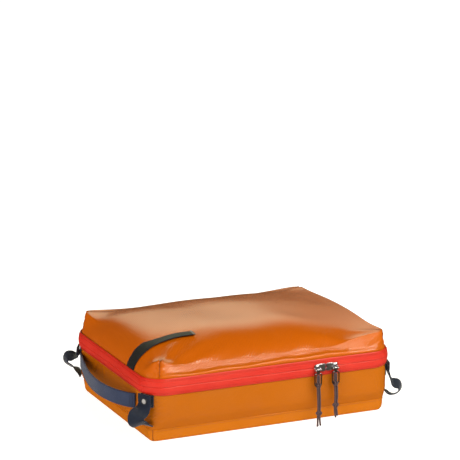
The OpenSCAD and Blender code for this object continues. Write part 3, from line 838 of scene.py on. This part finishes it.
def lid_points():
    """Rings from the band's edge up the sides and over the top.

    The corners are boxed; between them the front and the left roll over in one broad curve.
    """
    rings, downs = [], []
    foot_x, foot_y = HALF_L - 0.9 * MM, HALF_D - 0.9 * MM
    for k in np.linspace(0, 1, LID_SIDE_ROWS) ** 1.25:
        flat = ring(foot_x + (LID_HALF_L - foot_x) * k, foot_y + (LID_HALF_D - foot_y) * k,
                    LID_FOOT_R + (LID_CORNER_R - LID_FOOT_R) * k)
        rings.append(lift(flat, k))
        downs.append((1 - k) * LID_SIDE_H)
    for k in 1 - np.linspace(0, 1, LID_TOP_ROWS + 2)[1:-1] ** 1.15:
        rings.append(lift(ring(LID_HALF_L * k, LID_HALF_D * k, LID_CORNER_R * k), 1))
        downs.append(0)
    points = np.array(rings)
    x, y, k = np.moveaxis(points, -1, 0)               # views: they change with the points
    u, v = x / foot_x, y / foot_y
    # Two shapes: sharp corners under a flat top, and a pillow that rolls over the edges.
    edge = 4.5 * MM * np.clip(x / LID_HALF_L, 0, 1) ** 5 * (1 - np.clip(y / LID_HALF_D, -1, 1) ** 2)
    boxed = LID_FOOT + (lid_height(x, y) + edge - LID_FOOT) * k
    crown = LID_CORNER_Z + LID_DOME - LID_FOOT
    a, b = np.clip(np.abs(u), 0, 1), np.clip(np.abs(v), 0, 1)
    across = np.where(u < 0, (1 - a ** 8) ** 0.6 * (1 - 0.15 * a * a), (1 - a ** 3) ** 0.7)
    rolled = LID_FOOT + crown * across * (1 - b ** 3) ** 0.7
    # Which of them shows where: the pillow keeps away from the corners, most of all from the sewn one.
    sewn = bump(x, -180 * MM, 75 * MM) * bump(y, -139 * MM, 75 * MM)
    away = smooth_step((0.84 + 0.05 * sewn - np.abs(u * v)) / (0.42 - 0.26 * sewn))
    front = 0.30 + 0.70 * smooth_step((0.4 - v) / 0.8)
    left = 0.08 + 0.92 * smooth_step((0.4 - u) / 0.8)
    by_x, by_y = np.abs(u) ** 6, np.abs(v) ** 6
    share = (left * by_x + front * by_y + 0.0005) / (by_x + by_y + 0.001)
    points[..., 2] = boxed + (rolled - boxed) * away * share
    ear = 13 * bump(x, EAR_X, 12 * MM) * bump(y, EAR_Y, 13 * MM)
    ear += 4 * bump(x, EAR_X + 19 * MM, 22 * MM) * bump(y, EAR_Y - 5 * MM, 12 * MM)
    points[..., 2] += ear * MM * smooth_step(3 * points[..., 2])
    # Ease the rows round the ear into each other, and push each corner out.
    ease = (bump(x, -150 * MM, 38 * MM) * bump(y, -118 * MM, 34 * MM))[1:-1, :, None]
    for _ in range(14):
        between = (points[:-2] + points[2:]) / 2
        points[1:-1] += 0.5 * ease * (between - points[1:-1])
    rise = np.clip((points[..., 2] - LID_FOOT) / (LID_CORNER_Z - LID_FOOT), 0, 1)
    for cx, cy, push in ((-1, -1, 1.0), (1, -1, 6.5), (-1, 1, 4.0), (1, 1, 2.5)):
        near = np.hypot(x - cx * 156 * MM, y - cy * 119 * MM)
        shift = push * MM * rise * np.exp(-(near / (24 * MM)) ** 2)
        points[..., 0] += cx * shift * 0.75
        points[..., 1] += cy * shift * 0.66
    return points, np.array(downs)


DART_COLUMNS = tuple(start + step for start, step in zip(CORNER_STARTS, (ARC // 2, ARC // 2, ARC // 2, 11)))


def lid_wrinkles(points):
    """How far the cloth stands out, in mm, over the rings."""
    x, y = points[..., 0] / MM, points[..., 1] / MM
    steps = np.linalg.norm(np.diff(points, axis=0), axis=2)
    up = np.concatenate([np.zeros((1, points.shape[1])), np.cumsum(steps, 0)]) / MM
    rng = np.random.default_rng(5)
    out = 0.9 * np.sin(x / 46 + 0.8 * np.sin(y / 37)) * np.sin(y / 39 + 0.9) * smooth_step((up - 30) / 40)
    out *= 1 - 0.7 * smooth_step((y - 10) / 70)
    out += 0.35 * np.sin(x / 21 + y / 33 + 1.1 * np.sin(x / 55)) * smooth_step((up - 20) / 30)
    front = smooth_step((-96 - y) / 14)
    low = bump(up, 11, 11)                             # ribs along the foot, which catch the softbox
    ragged = np.sin(x / 2.3 - up / 3.1 + 1.3 * np.sin(x / 9.7)) * (0.6 + 0.4 * np.sin(x / 6.1 + 1.7))
    out += front * low * (0.16 * ragged + 0.42 * np.sin(x / 8.2 - up / 6.5 + 1.6 * np.sin(x / 31)))
    for _ in range(46):
        cx, lean, width = rng.uniform(-150, 174), rng.uniform(0.5, 1.3), rng.uniform(2.0, 4.6)
        h0, tall = rng.uniform(3, 13), rng.uniform(5, 13)
        size = rng.uniform(0.3, 0.75) * rng.choice((-1, 1))
        out += front * size * bump(x, cx + lean * (up - h0), width) * bump(up, h0 + 4, tall)
    crest = 4.2 + 1.7 * smooth_step((x + 130) / 90) + 0.9 * np.sin(x / 41) + 0.7 * np.sin(x / 13 + 1)
    out += front * (2.9 + 0.5 * np.sin(x / 27)) * bump(up, crest, 3.8) * smooth_step((168 - np.abs(x)) / 20)
    # Folds from (x0, y0) towards (x1, y1), each with a hollow on one side.
    for x0, y0, x1, y1, width, size in (
            (-158, -128, -96, -66, 9, 1.6), (-154, -132, -58, -88, 8, 1.5), (-164, -124, -146, -82, 7, 0.8),
            (-150, -134, -20, -104, 7, 0.9), (166, -128, 96, -84, 9, 0.9), (160, 122, 70, 60, 12, 0.9),
            (-164, 120, -84, 66, 12, 0.9), (120, -128, 40, -96, 8, 0.5)):
        dx, dy = x1 - x0, y1 - y0
        length = math.hypot(dx, dy)
        along = ((x - x0) * dx + (y - y0) * dy) / length
        off = ((y - y0) * dx - (x - x0) * dy) / length
        spread = width * (0.45 + 0.9 * np.clip(along / length, 0, 1))
        fade = smooth_step((along + 4) / 14) * smooth_step((length - along) / (0.7 * length))
        out += size * np.exp(-(off / spread) ** 2) * fade
        out -= 0.55 * size * np.exp(-((off - 1.9 * spread) / spread) ** 2) * fade
    # A dart at each corner: deep where the corner faces the camera.
    for cx, cy in QUADRANTS:
        depth, seam = (3.0, 61.9) if (cx, cy) == (-1, -1) else (1.2, 45)
        turn = np.degrees(np.arctan2(y * cy - 107, x * cx - 148))
        reach = np.hypot(x * cx - 148, y * cy - 107)
        near = (x * cx > 136) & (y * cy > 98)
        fade = near * smooth_step((36 - up) / 8) * smooth_step(reach / 12)
        out -= depth * fade * bump(turn, seam, 2.4)
        out += 0.6 * depth * fade * (bump(turn, seam - 5.4, 2.6) + bump(turn, seam + 5.4, 2.6))
        out += 0.22 * depth * fade * bump(turn, seam, 15) * np.sin(up / 1.7)
    return out * smooth_step((up - 0.5) / 5)


def lid_uv(points, downs):
    """The cloth laid flat: the top panel's plan, carried on down the sides."""
    top = points[LID_SIDE_ROWS - 1, :, :2]
    away = np.roll(top, -1, 0) - np.roll(top, 1, 0)
    away = np.stack([away[:, 1], -away[:, 0]], 1)
    away /= np.linalg.norm(away, axis=1)[:, None]
    uv = points[..., :2].copy()
    for i in range(LID_SIDE_ROWS - 1):
        uv[i] = top + away * downs[i]
    return np.concatenate([uv, uv[:, :1]], 1)


def make_lid():
    points, downs = lid_points()
    uv = lid_uv(points, downs)
    points = points + grid_normals(points) * (lid_wrinkles(points) * MM)[..., None]
    piece = closed_grid("lid_shell", points, uv, -1)
    solidify(piece, CLOTH_T)
    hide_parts("lid_panel")
    finish(piece, CLOTH, "lid")
    # The dart seams: their dark thread paints the shade along each dart's groove.
    for k, column in enumerate(DART_COLUMNS):
        seam = seam_rope(f"lid_dart_seam_{k}", points[6:LID_SIDE_ROWS + 4, column], 0.4 * MM)
        finish(seam, SEAM_SHADE_THREAD, "lid")
    return points


LABEL_Y = -73
LABEL_RUN = ((-165, -72.6), (-158, -71.8), (-150, -71), (-141, -70.2), (-132, -69.6), (-122, -69.4),
             (-112, -69.6), (-101, -70.3), (-88, -71.5))


def make_label(lid):
    """The blank strip, laid over the lid's own surface."""
    skin = BVHTree.FromPolygons([tuple(v) for v in lid.reshape(-1, 3)], quads(*lid.shape[:2]))
    rays = [((-1, LABEL_Y * MM, z * MM), (1, 0, 0)) for z in (88.6, 92, 96.5, 101, 105.5)]
    rays += [((x * MM, y * MM, 1), (0, 0, -1)) for x, y in LABEL_RUN]
    hits = [tuple(skin.ray_cast(Vector(start), Vector(way))[0]) for start, way in rays]
    mid = resample(spline(hits, 6), 1.6 * MM)
    t = tangents(mid)
    across = np.column_stack([-t[:, 1], np.maximum(t[:, 0], 0.2), np.zeros(len(t))])
    across /= np.linalg.norm(across, axis=1)[:, None]
    out = np.cross(t, across)
    mid = mid + out * 0.5 * MM
    piece = sweep("label_tape", mid, across, flat_section(24.6 * MM, 0.6 * MM, 3))
    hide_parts("label_strip")
    finish(piece, LABEL, "lid")
    end = resample(mid[-3:] + out[-3:] * 0.42 * MM, 0.8 * MM)[:4]
    fold = sweep("label_fold", end, np.tile(across[-1], (4, 1)), flat_section(22.6 * MM, 0.3 * MM, 2))
    finish(fold, LABEL_BACK, "lid")
    for k, edge in enumerate((-11.2, 11.2)):
        line = mid + across * edge * MM + out * 0.36 * MM
        seam = stitches(f"label_stitches_{k}", line, out, 2.6, 1.8, 0.18)
        finish(seam, NAVY_THREAD, "lid")


# ---- Webbing ----

HANDLE_BOW = 24 * MM
SEWN_ON = 1.02 * MM                   # from the middle of the handle to its stitches


def doubled_section(width, thickness):
    """Two layers of webbing, sewn together: a groove runs along each edge."""
    h, w, r = thickness / 2, width / 2, thickness / 4
    lower = [(w - r, -h), (w - 0.3 * r, -h + 0.3 * r), (w, -h + r), (w - 0.3 * r, -h + 1.7 * r)]
    right = lower + [(w - 1.2 * r, 0)] + [(x, -y) for x, y in lower[::-1]]
    left = [(-x, -y) for x, y in right]
    fill = np.linspace(w - r, -w + r, 9)[1:-1]
    return right + [(x, h) for x in fill] + left + [(x, -h) for x in fill[::-1]]


def handle_line(s):
    """Middle of the handle's thickness at s, from 0 at its near end to 1 at its far end."""
    near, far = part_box("handle_end_near"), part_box("handle_end_far")
    x = near[1].x - HANDLE_BOW * np.sin(math.pi * s ** 0.72) - 1 * MM
    return lift(np.column_stack([x, near[0].y + (far[1].y - near[0].y) * s]), (near[0].z + near[1].z) / 2)


def make_handle():
    """Two halves of the handle that meet in the middle."""
    line = resample(handle_line(np.linspace(0, 1, 400)), 1.2 * MM)
    half = len(line) * 45 // 100
    low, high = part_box("handle_strap")
    width, thick, edge = high.z - low.z, 2 * MM, (high.z - low.z) / 2 - 1.2 * MM
    up = np.array((0.0, 0.0, 1.0))
    near, far = line[:half + 1], line[half:]
    for name, part, bars, nodes, a, b, start, end in (
            ("handle_near", near, (3, 6), ("handle_end_near", "handle_strap"), "base", "handle",
             near[0], near[26]),
            ("handle_far", far, (-4, -7), ("handle_end_far",), "handle", "base", far[-30], far[-3])):
        piece = sweep(name, part, np.tile(up, (len(part), 1)), doubled_section(width, thick))
        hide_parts(*nodes)
        finish(piece, WEBBING)
        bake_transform(piece)
        out = np.cross(up, tangents(part))
        face = part + out * SEWN_ON
        rows = [stitches(f"{name}_row_{k}", face + up * rise, out, 3, 2.2, 0.2)
                for k, rise in enumerate((-edge, edge))]
        for k, i in enumerate(bars):
            cross = np.array([face[i] + up * h for h in np.linspace(-edge, edge, 30)])
            rows.append(stitches(f"{name}_bar_{k}", cross, out[i], 1.5, 1.2, 0.3))
        seams = join(name + "_stitches", rows)
        finish(seams, NAVY_THREAD)
        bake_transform(seams)


LOOPS = {    # which end and side, the angle round the corner, the belly's height in mm, and the twist
    "front_left": (-1, -1, 28, 38, 32),
    "back_left": (-1, 1, 28, 47, 24),
    "front_right": (1, -1, 16, 28, -22),
    "back_right": (1, 1, 20, 36, -12),
}
CORNER_WALL_R = 31.3 * MM
SNAP_Z = 57.5 * MM
LOOP_W = 22 * MM
LOOP_T = 1.4 * MM
STRAP_OUT = 4.5                       # mm from the wall to the middle of the strap
# The snap's outlines, as (radius, distance out) in mm.
SNAP_CAP = ((0.01, 0.1), (5.1, 0.1), (5.2, 0.35), (5.15, 0.8), (4.85, 1.25), (4.3, 1.5), (3.75, 1.42),
            (3.4, 1.1), (3.3, 0.85), (0.01, 0.85))
SNAP_SOCKET = ((0.01, -0.2), (2.4, -0.2), (2.45, -1.1), (2.7, -1.45), (3.3, -1.5), (3.9, -1.4), (4.5, -1.0),
               (4.6, -0.3), (4.6, 0), (0.01, 0))
SNAP_TOP = ((0.01, 0.8), (3.25, 0.8), (3.2, 1.0), (2.9, 1.28), (2.3, 1.5), (1.5, 1.6), (0.7, 1.62),
            (0.01, 1.62))
SNAP_STUD = ((0.01, 1.5), (4.3, 1.5), (4.35, 1.7), (4.2, 2.0), (3.4, 2.12), (2.2, 2.15), (1.9, 2.3),
             (1.8, 2.7), (1.95, 3.1), (1.8, 3.35), (0.01, 3.4))


def lathe(name, profile, origin, axis, side, sides=40, hollow=False):
    """A turned piece: profile is (radius, distance along the axis) pairs, in mm.

    hollow joins the last pair to the first; otherwise both ends are closed flat.
    """
    third = np.cross(axis, side)
    turn = np.linspace(0, 2 * math.pi, sides, endpoint=False)
    verts = [origin + MM * (axis * d + r * (side * math.cos(a) + third * math.sin(a)))
             for r, d in profile for a in turn]
    m = len(profile)
    faces = quads(m + 1, sides) if hollow else capped(m, sides)
    return new_object(name, verts, [tuple(v % (m * sides) for v in face) for face in faces])


def make_loop(corner):
    end, side, phi, belly, twist = LOOPS[corner]
    a = math.atan2(side * math.sin(math.radians(phi)), end * math.cos(math.radians(phi)))
    normal, along = np.array((math.cos(a), math.sin(a), 0)), np.array((-math.sin(a), math.cos(a), 0))
    origin = np.array((end * (HALF_L - BAND_R), side * (HALF_D - BAND_R), 0)) + normal * CORNER_WALL_R
    up = np.array((0, 0, 1.0))
    route = [(STRAP_OUT, 66.5), (STRAP_OUT, 58), (STRAP_OUT + 0.1, 52.5), (11, min(belly + 8, 51.5)),
             (20.5, belly + 4), (22, belly - 4), (15, belly - 9.5), (5, (belly - 9.5 + 24) / 2), (0.8, 24)]
    flat = resample(spline([(out, 0, z) for out, z in route], 10) * MM, 0.9 * MM)
    line = origin + flat[:, :1] * normal + flat[:, 2:] * up
    turn = (math.radians(twist) * smooth_step((flat[:, 0] / MM - 5) / 10))[:, None]
    across = np.cos(turn) * along - np.sin(turn) * np.cross(tangents(line), along)
    strap = sweep("loop_strap_" + corner, line, across, flat_section(LOOP_W, LOOP_T * 1.2, 5))
    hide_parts("lash_loop_" + corner)
    finish(strap, LOOP_WEBBING, "loop_" + corner)

    top = origin + normal * (STRAP_OUT * MM + LOOP_T / 2 + 0.02 * MM)
    rows = []
    for k, z in enumerate((64.6, 63.4)):
        cross = np.array([top + along * w * MM + up * z * MM for w in np.linspace(-9.6, 9.6, 20)])
        rows.append(stitches(f"bar_{corner}_{k}", cross, normal, 1.6, 1.2, 0.25))
    seams = join("loop_stitches_" + corner, rows)
    finish(seams, NAVY_THREAD, "loop_" + corner)

    ys = np.linspace(-LOOP_W / 2, LOOP_W / 2, 13)
    stand = 0.35 * MM + 0.8 * (np.sqrt(CORNER_WALL_R ** 2 - ys ** 2) - CORNER_WALL_R)
    zs = np.linspace(49.5, 65.6, 9) * MM
    sheet = np.array([[origin + normal * (out + LOOP_T * 0.8) + along * y + up * z
                       for y, out in zip(ys, stand)] for z in zs])
    tab = grid("tab_" + corner, sheet, np.array([[(y, z) for y in ys] for z in zs]))
    solidify(tab, LOOP_T * 0.8)
    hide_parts("lash_tab_" + corner)
    finish(tab, LOOP_WEBBING, "base")
    make_snap(corner, origin + up * SNAP_Z, normal, along)


def make_snap(corner, centre, normal, along):
    """A ring snap: its dished cap and socket on the strap, and its stud on the tab. The cap's domed middle is
    light grey, as a painted highlight.
    """
    top, skirt = [centre + normal * (STRAP_OUT * MM + side * LOOP_T / 2) for side in (1, -1)]
    ring_piece = join("snap_ring_" + corner, [lathe("snap_cap", SNAP_CAP, top, normal, along),
                                              lathe("snap_socket", SNAP_SOCKET, skirt, normal, along)])
    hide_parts("snap_cap_" + corner)
    finish(ring_piece, SNAP, "loop_" + corner)
    # The dome's light grey is a painted highlight.
    dome_piece = lathe("snap_dome_highlight_" + corner, SNAP_TOP, top, normal, along)
    finish(dome_piece, SNAP_DOME_HIGHLIGHT, "loop_" + corner)
    stud_piece = lathe("stud_" + corner, SNAP_STUD, centre, normal, along)
    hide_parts("snap_stud_" + corner)
    finish(stud_piece, SNAP, "base")


# ---- Sliders and pulls ----


def signed_area(outline):
    """Twice the outline's area: positive when its (x, z) pairs run anticlockwise."""
    x, z = np.asarray(outline).T
    return (x * np.roll(z, -1) - np.roll(x, -1) * z).sum()


def prism(name, outline, y0, y1):
    """An outline in x and z, from y0 to y1."""
    verts = [(x, y, z) for y in (y0, y1) for x, z in outline]
    faces = capped(2, len(outline))
    if (signed_area(outline) > 0) == (y1 > y0):
        faces = [face[::-1] for face in faces]
    return new_object(name, verts, faces)


def soften(obj, width, segments=3):
    """Rounds a metal piece's edges, for good."""
    mod = obj.modifiers.new("edges", "BEVEL")
    mod.width = width
    mod.segments = segments
    mod.limit_method = "ANGLE"
    mod.angle_limit = math.radians(28)
    mod.harden_normals = False
    with bpy.context.temp_override(object=obj, active_object=obj):
        bpy.ops.object.modifier_apply(modifier=mod.name)
    obj.data.polygons.foreach_set("use_smooth", [True] * len(obj.data.polygons))
    return obj


def domed(name, outline, back, edge, rise):
    """A cast plate: upright sides of height edge, and a rounded face that stands out to rise."""
    outline = np.asarray(outline)
    middle = outline.mean(0)
    rows = [(1, 0), (1, edge * 0.55), (0.97, edge * 0.85), (0.9, edge)]
    rows += [(k, edge + (rise - edge) * (1 - (k / 0.9) ** 2)) for k in (0.75, 0.55, 0.3, 0.08)]
    verts = [(x, back - out, z) for k, out in rows for x, z in middle + (outline - middle) * k]
    faces = capped(len(rows), len(outline))
    if signed_area(outline) < 0:
        faces = [face[::-1] for face in faces]
    return new_object(name, verts, faces)


def make_slider(side_name):
    side = -1 if side_name == "left" else 1
    low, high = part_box("slider_" + side_name)
    x, half = (low.x + high.x) / 2, (high.x - low.x) / 2
    bar_x, bar_y, bar_z = x + side * 4.3 * MM, -144.4 * MM, 75 * MM
    front, rear, plate = -140.4 * MM, -136.7 * MM, 1.4 * MM

    def outline(cx, wide, z0, z1, r, steps=5):
        """A rounded outline about cx, in mm from there and from the zip's middle."""
        return rounded(cx - wide * MM, cx + wide * MM, ZIP_Z + z0 * MM, ZIP_Z + z1 * MM, r * MM, steps)

    rim = [(-8.3, -3.6), (-7.6, -5.1), (-6, -5.5), (-2, -5.5), (1.2, -5.2), (5, -4.3), (7.6, -3.6),
           (8.3, -2.6)]
    rim += [(px, -pz) for px, pz in rim[::-1]] + [(-8.0, 1.2), (-7.2, 0), (-8.0, -1.2)]
    plate_line = [(x + side * px * half / 8.3, ZIP_Z + pz * MM) for px, pz in rim]
    rear_plate = prism("rear", outline(x, 6.8, -5.6, 0.4, 1.2), rear, rear + 1.2 * MM)
    bar_line = np.array([(bar_x + d * MM, bar_y, bar_z) for d in np.linspace(-4.4, 4.4, 6)])
    parts = [
        domed("plate", plate_line, front, plate, 1.45 * MM),
        domed("crown", outline(bar_x, 4.3, 0.1, 4.9, 2.2), front - 0.9 * MM, 0.6 * MM, 2.3 * MM),
        prism("post", outline(x - side * 4.8 * MM, 2.5, -0.4, 0.4, 0.3, 2), front - 0.1 * MM, rear),
        soften(rear_plate, 0.3 * MM, 2),
        prism("lip", outline(x, 6.8, -5.6, -4.6, 0.4, 3), rear - 1.2 * MM, rear + 0.1 * MM),
        tube("bar", bar_line, 0.9 * MM, 20),
    ]
    turn = np.radians(np.linspace(-90, 90, 11))
    foot = front - plate + 0.2 * MM
    profile = list(zip(bar_y - 1.5 * MM * np.cos(turn), bar_z + 1.5 * MM * np.sin(turn)))
    profile += [(foot - out * MM, bar_z + rise * MM)
                for out, rise in ((0.7, 1.9), (0, 2.8), (0, -2.8), (0.7, -1.9))]
    for d in (-3.8, 3.8):
        lug = prism("lug", profile, bar_x + (d - 0.7) * MM, bar_x + (d + 0.7) * MM)
        for v in lug.data.vertices:
            v.co = (v.co.y, v.co.x, v.co.z)
        lug.data.flip_normals()
        parts.append(soften(lug, 0.35 * MM))
    piece = join("zip_slider_" + side_name, parts)
    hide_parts("slider_" + side_name)
    finish(piece, SLIDER, "slider_" + side_name)
    make_pull(side_name, bar_x, bar_y, bar_z)


def make_pull(side_name, x, y, z):
    """The wire pull: a knuckle on the bar, a neck, and a rounded frame for the cord."""
    wire, steps = 0.85 * MM, 6
    w, top, foot, r = 4.9 * MM, z - 4.2 * MM - wire, z - 22 * MM + wire, 1.9 * MM
    corners = rounded(x - w, x + w, foot, top, r, steps)
    half = 2 * (steps + 1)
    loop = [(x, top)] + corners[half:] + corners[:half] + [(x, top)]
    line = resample(np.array([(px, y, pz) for px, pz in loop]), 0.5 * MM)
    frame_wire = tube("wire", line, wire, 14)
    rim = [(0.95, -2.5), (1.8, -2.5), (2.05, -2.25), (2.1, -1.9)]
    profile = rim + [(rad, -d) for rad, d in rim[::-1]]
    along, up = np.array((1.0, 0, 0)), np.array((0, 0, 1.0))
    knuckle = lathe("knuckle", profile, np.array((x, y, z)), along, up, sides=32, hollow=True)
    half_neck = [(-2.3, -1.6), (-2.0, -3.2), (-2.6, -4.6), (-2.2, -5.6)]
    neck_line = half_neck + [(-dx, dz) for dx, dz in half_neck[::-1]]
    neck = prism("neck", [(x + dx * MM, z + dz * MM) for dx, dz in neck_line], y - 0.9 * MM, y + 0.9 * MM)
    piece = join("wire_pull_" + side_name, [frame_wire, knuckle, soften(neck, 0.4 * MM)])
    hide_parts("pull_frame_" + side_name)
    finish(piece, WIRE, "pull_" + side_name)


# ---- Room ----


def light(name, kind, place, target, watts, glossy=True, **settings):
    data = bpy.data.lights.new(name, kind)
    data.energy = watts
    for key, value in settings.items():
        setattr(data, key, value)
    obj = bpy.data.objects.new(name, data)
    obj.location = place
    obj.rotation_euler = (Vector(target) - Vector(place)).to_track_quat("-Z", "Y").to_euler()
    obj.visible_glossy = glossy
    obj.visible_camera = False
    bpy.context.collection.objects.link(obj)


def make_floor():
    """A pale light table: it glows a little, so the shadows on it stay faint."""
    floor = new_object("floor", [(-8, -8, -0.0005), (8, -8, -0.0005), (8, 12, -0.0005), (-8, 12, -0.0005)],
                       [(0, 1, 2, 3)], smooth=False)
    n = Nodes("floor")
    paper = n.noise(40.0, 2.0)
    n.set(n.mix(paper, (0.58, 0.58, 0.58), (0.62, 0.62, 0.62)), roughness=0.9, specular=0.1)
    n.shader.inputs["Emission Color"].default_value = (1, 1, 1, 1)
    n.shader.inputs["Emission Strength"].default_value = FLOOR_GLOW
    floor.data.materials.append(n.mat)
    floor.visible_glossy = False


def make_world():
    """A dim, warm surround: the panels and the suns do the lighting."""
    world = bpy.data.worlds.new("studio")
    bpy.context.scene.world = world
    world.use_nodes = True
    tree = world.node_tree
    coord = tree.nodes.new("ShaderNodeTexCoord")
    split = tree.nodes.new("ShaderNodeSeparateXYZ")
    height = tree.nodes.new("ShaderNodeMapRange")
    height.inputs["From Min"].default_value = -1
    ramp = tree.nodes.new("ShaderNodeValToRGB")
    tree.links.new(coord.outputs["Generated"], split.inputs[0])
    tree.links.new(split.outputs["Z"], height.inputs["Value"])
    tree.links.new(height.outputs[0], ramp.inputs[0])
    tree.links.new(ramp.outputs[0], tree.nodes["Background"].inputs["Color"])
    stops = ramp.color_ramp.elements
    stops[0].position, stops[0].color = 0.0, (0.04, 0.035, 0.02, 1)
    stops[1].position, stops[1].color = 1.0, (0.06, 0.055, 0.035, 1)
    for rise, level in SURROUND:
        place = (1 + math.sin(math.radians(rise))) / 2
        stops.new(place).color = (level, level * 0.9, level * 0.55, 1)


FLOOR_GLOW = 0.88
SURROUND = ((-3, 0.04), (2, 0.04), (11, 0.06), (19, 0.06), (32, 0.05))      # degrees up, and how bright
PANELS = (    # name, place, what it faces, watts, width, height, colour
    ("softbox", (0.88, -1.46, 1.62), (0, -0.05, 0.1), 44, 2.0, 0.13, (1, 0.98, 0.80)),
    ("front_screen", (0.72, -1.6, 0.62), (0, 0, 0.1), 2.8, 1.4, 0.34, (1, 0.92, 0.74)),
    ("screen_high", (0.55, 1.6, 1.02), (0, 0, 0.12), 5.2, 1.1, 0.62, (0.93, 1, 0.68)),
    ("screen_low", (0.60, 1.6, 0.38), (0, 0, 0.12), 0.5, 1.25, 0.54, (1, 0.9, 0.62)),
)


def make_room():
    make_floor()
    make_world()
    for name, place, target, watts, wide, tall, color in PANELS:
        light(name, "AREA", place, target, watts, shape="RECTANGLE", size=wide, size_y=tall, color=color)
    light("key", "SUN", (0.45, -0.40, 0.80), (0, 0, 0), 0.25, glossy=False, angle=math.radians(16))
    light("fill", "SUN", (-1.0, -0.28, 0.16), (0, 0, 0), 3.2, glossy=False, angle=math.radians(60),
          color=(1, 0.88, 0.72))


make_tray()
make_wall()
make_zip()
lid_surface = make_lid()
make_label(lid_surface)
make_handle()
for corner_name in LOOPS:
    make_loop(corner_name)
make_slider("left")
make_slider("right")
make_room()
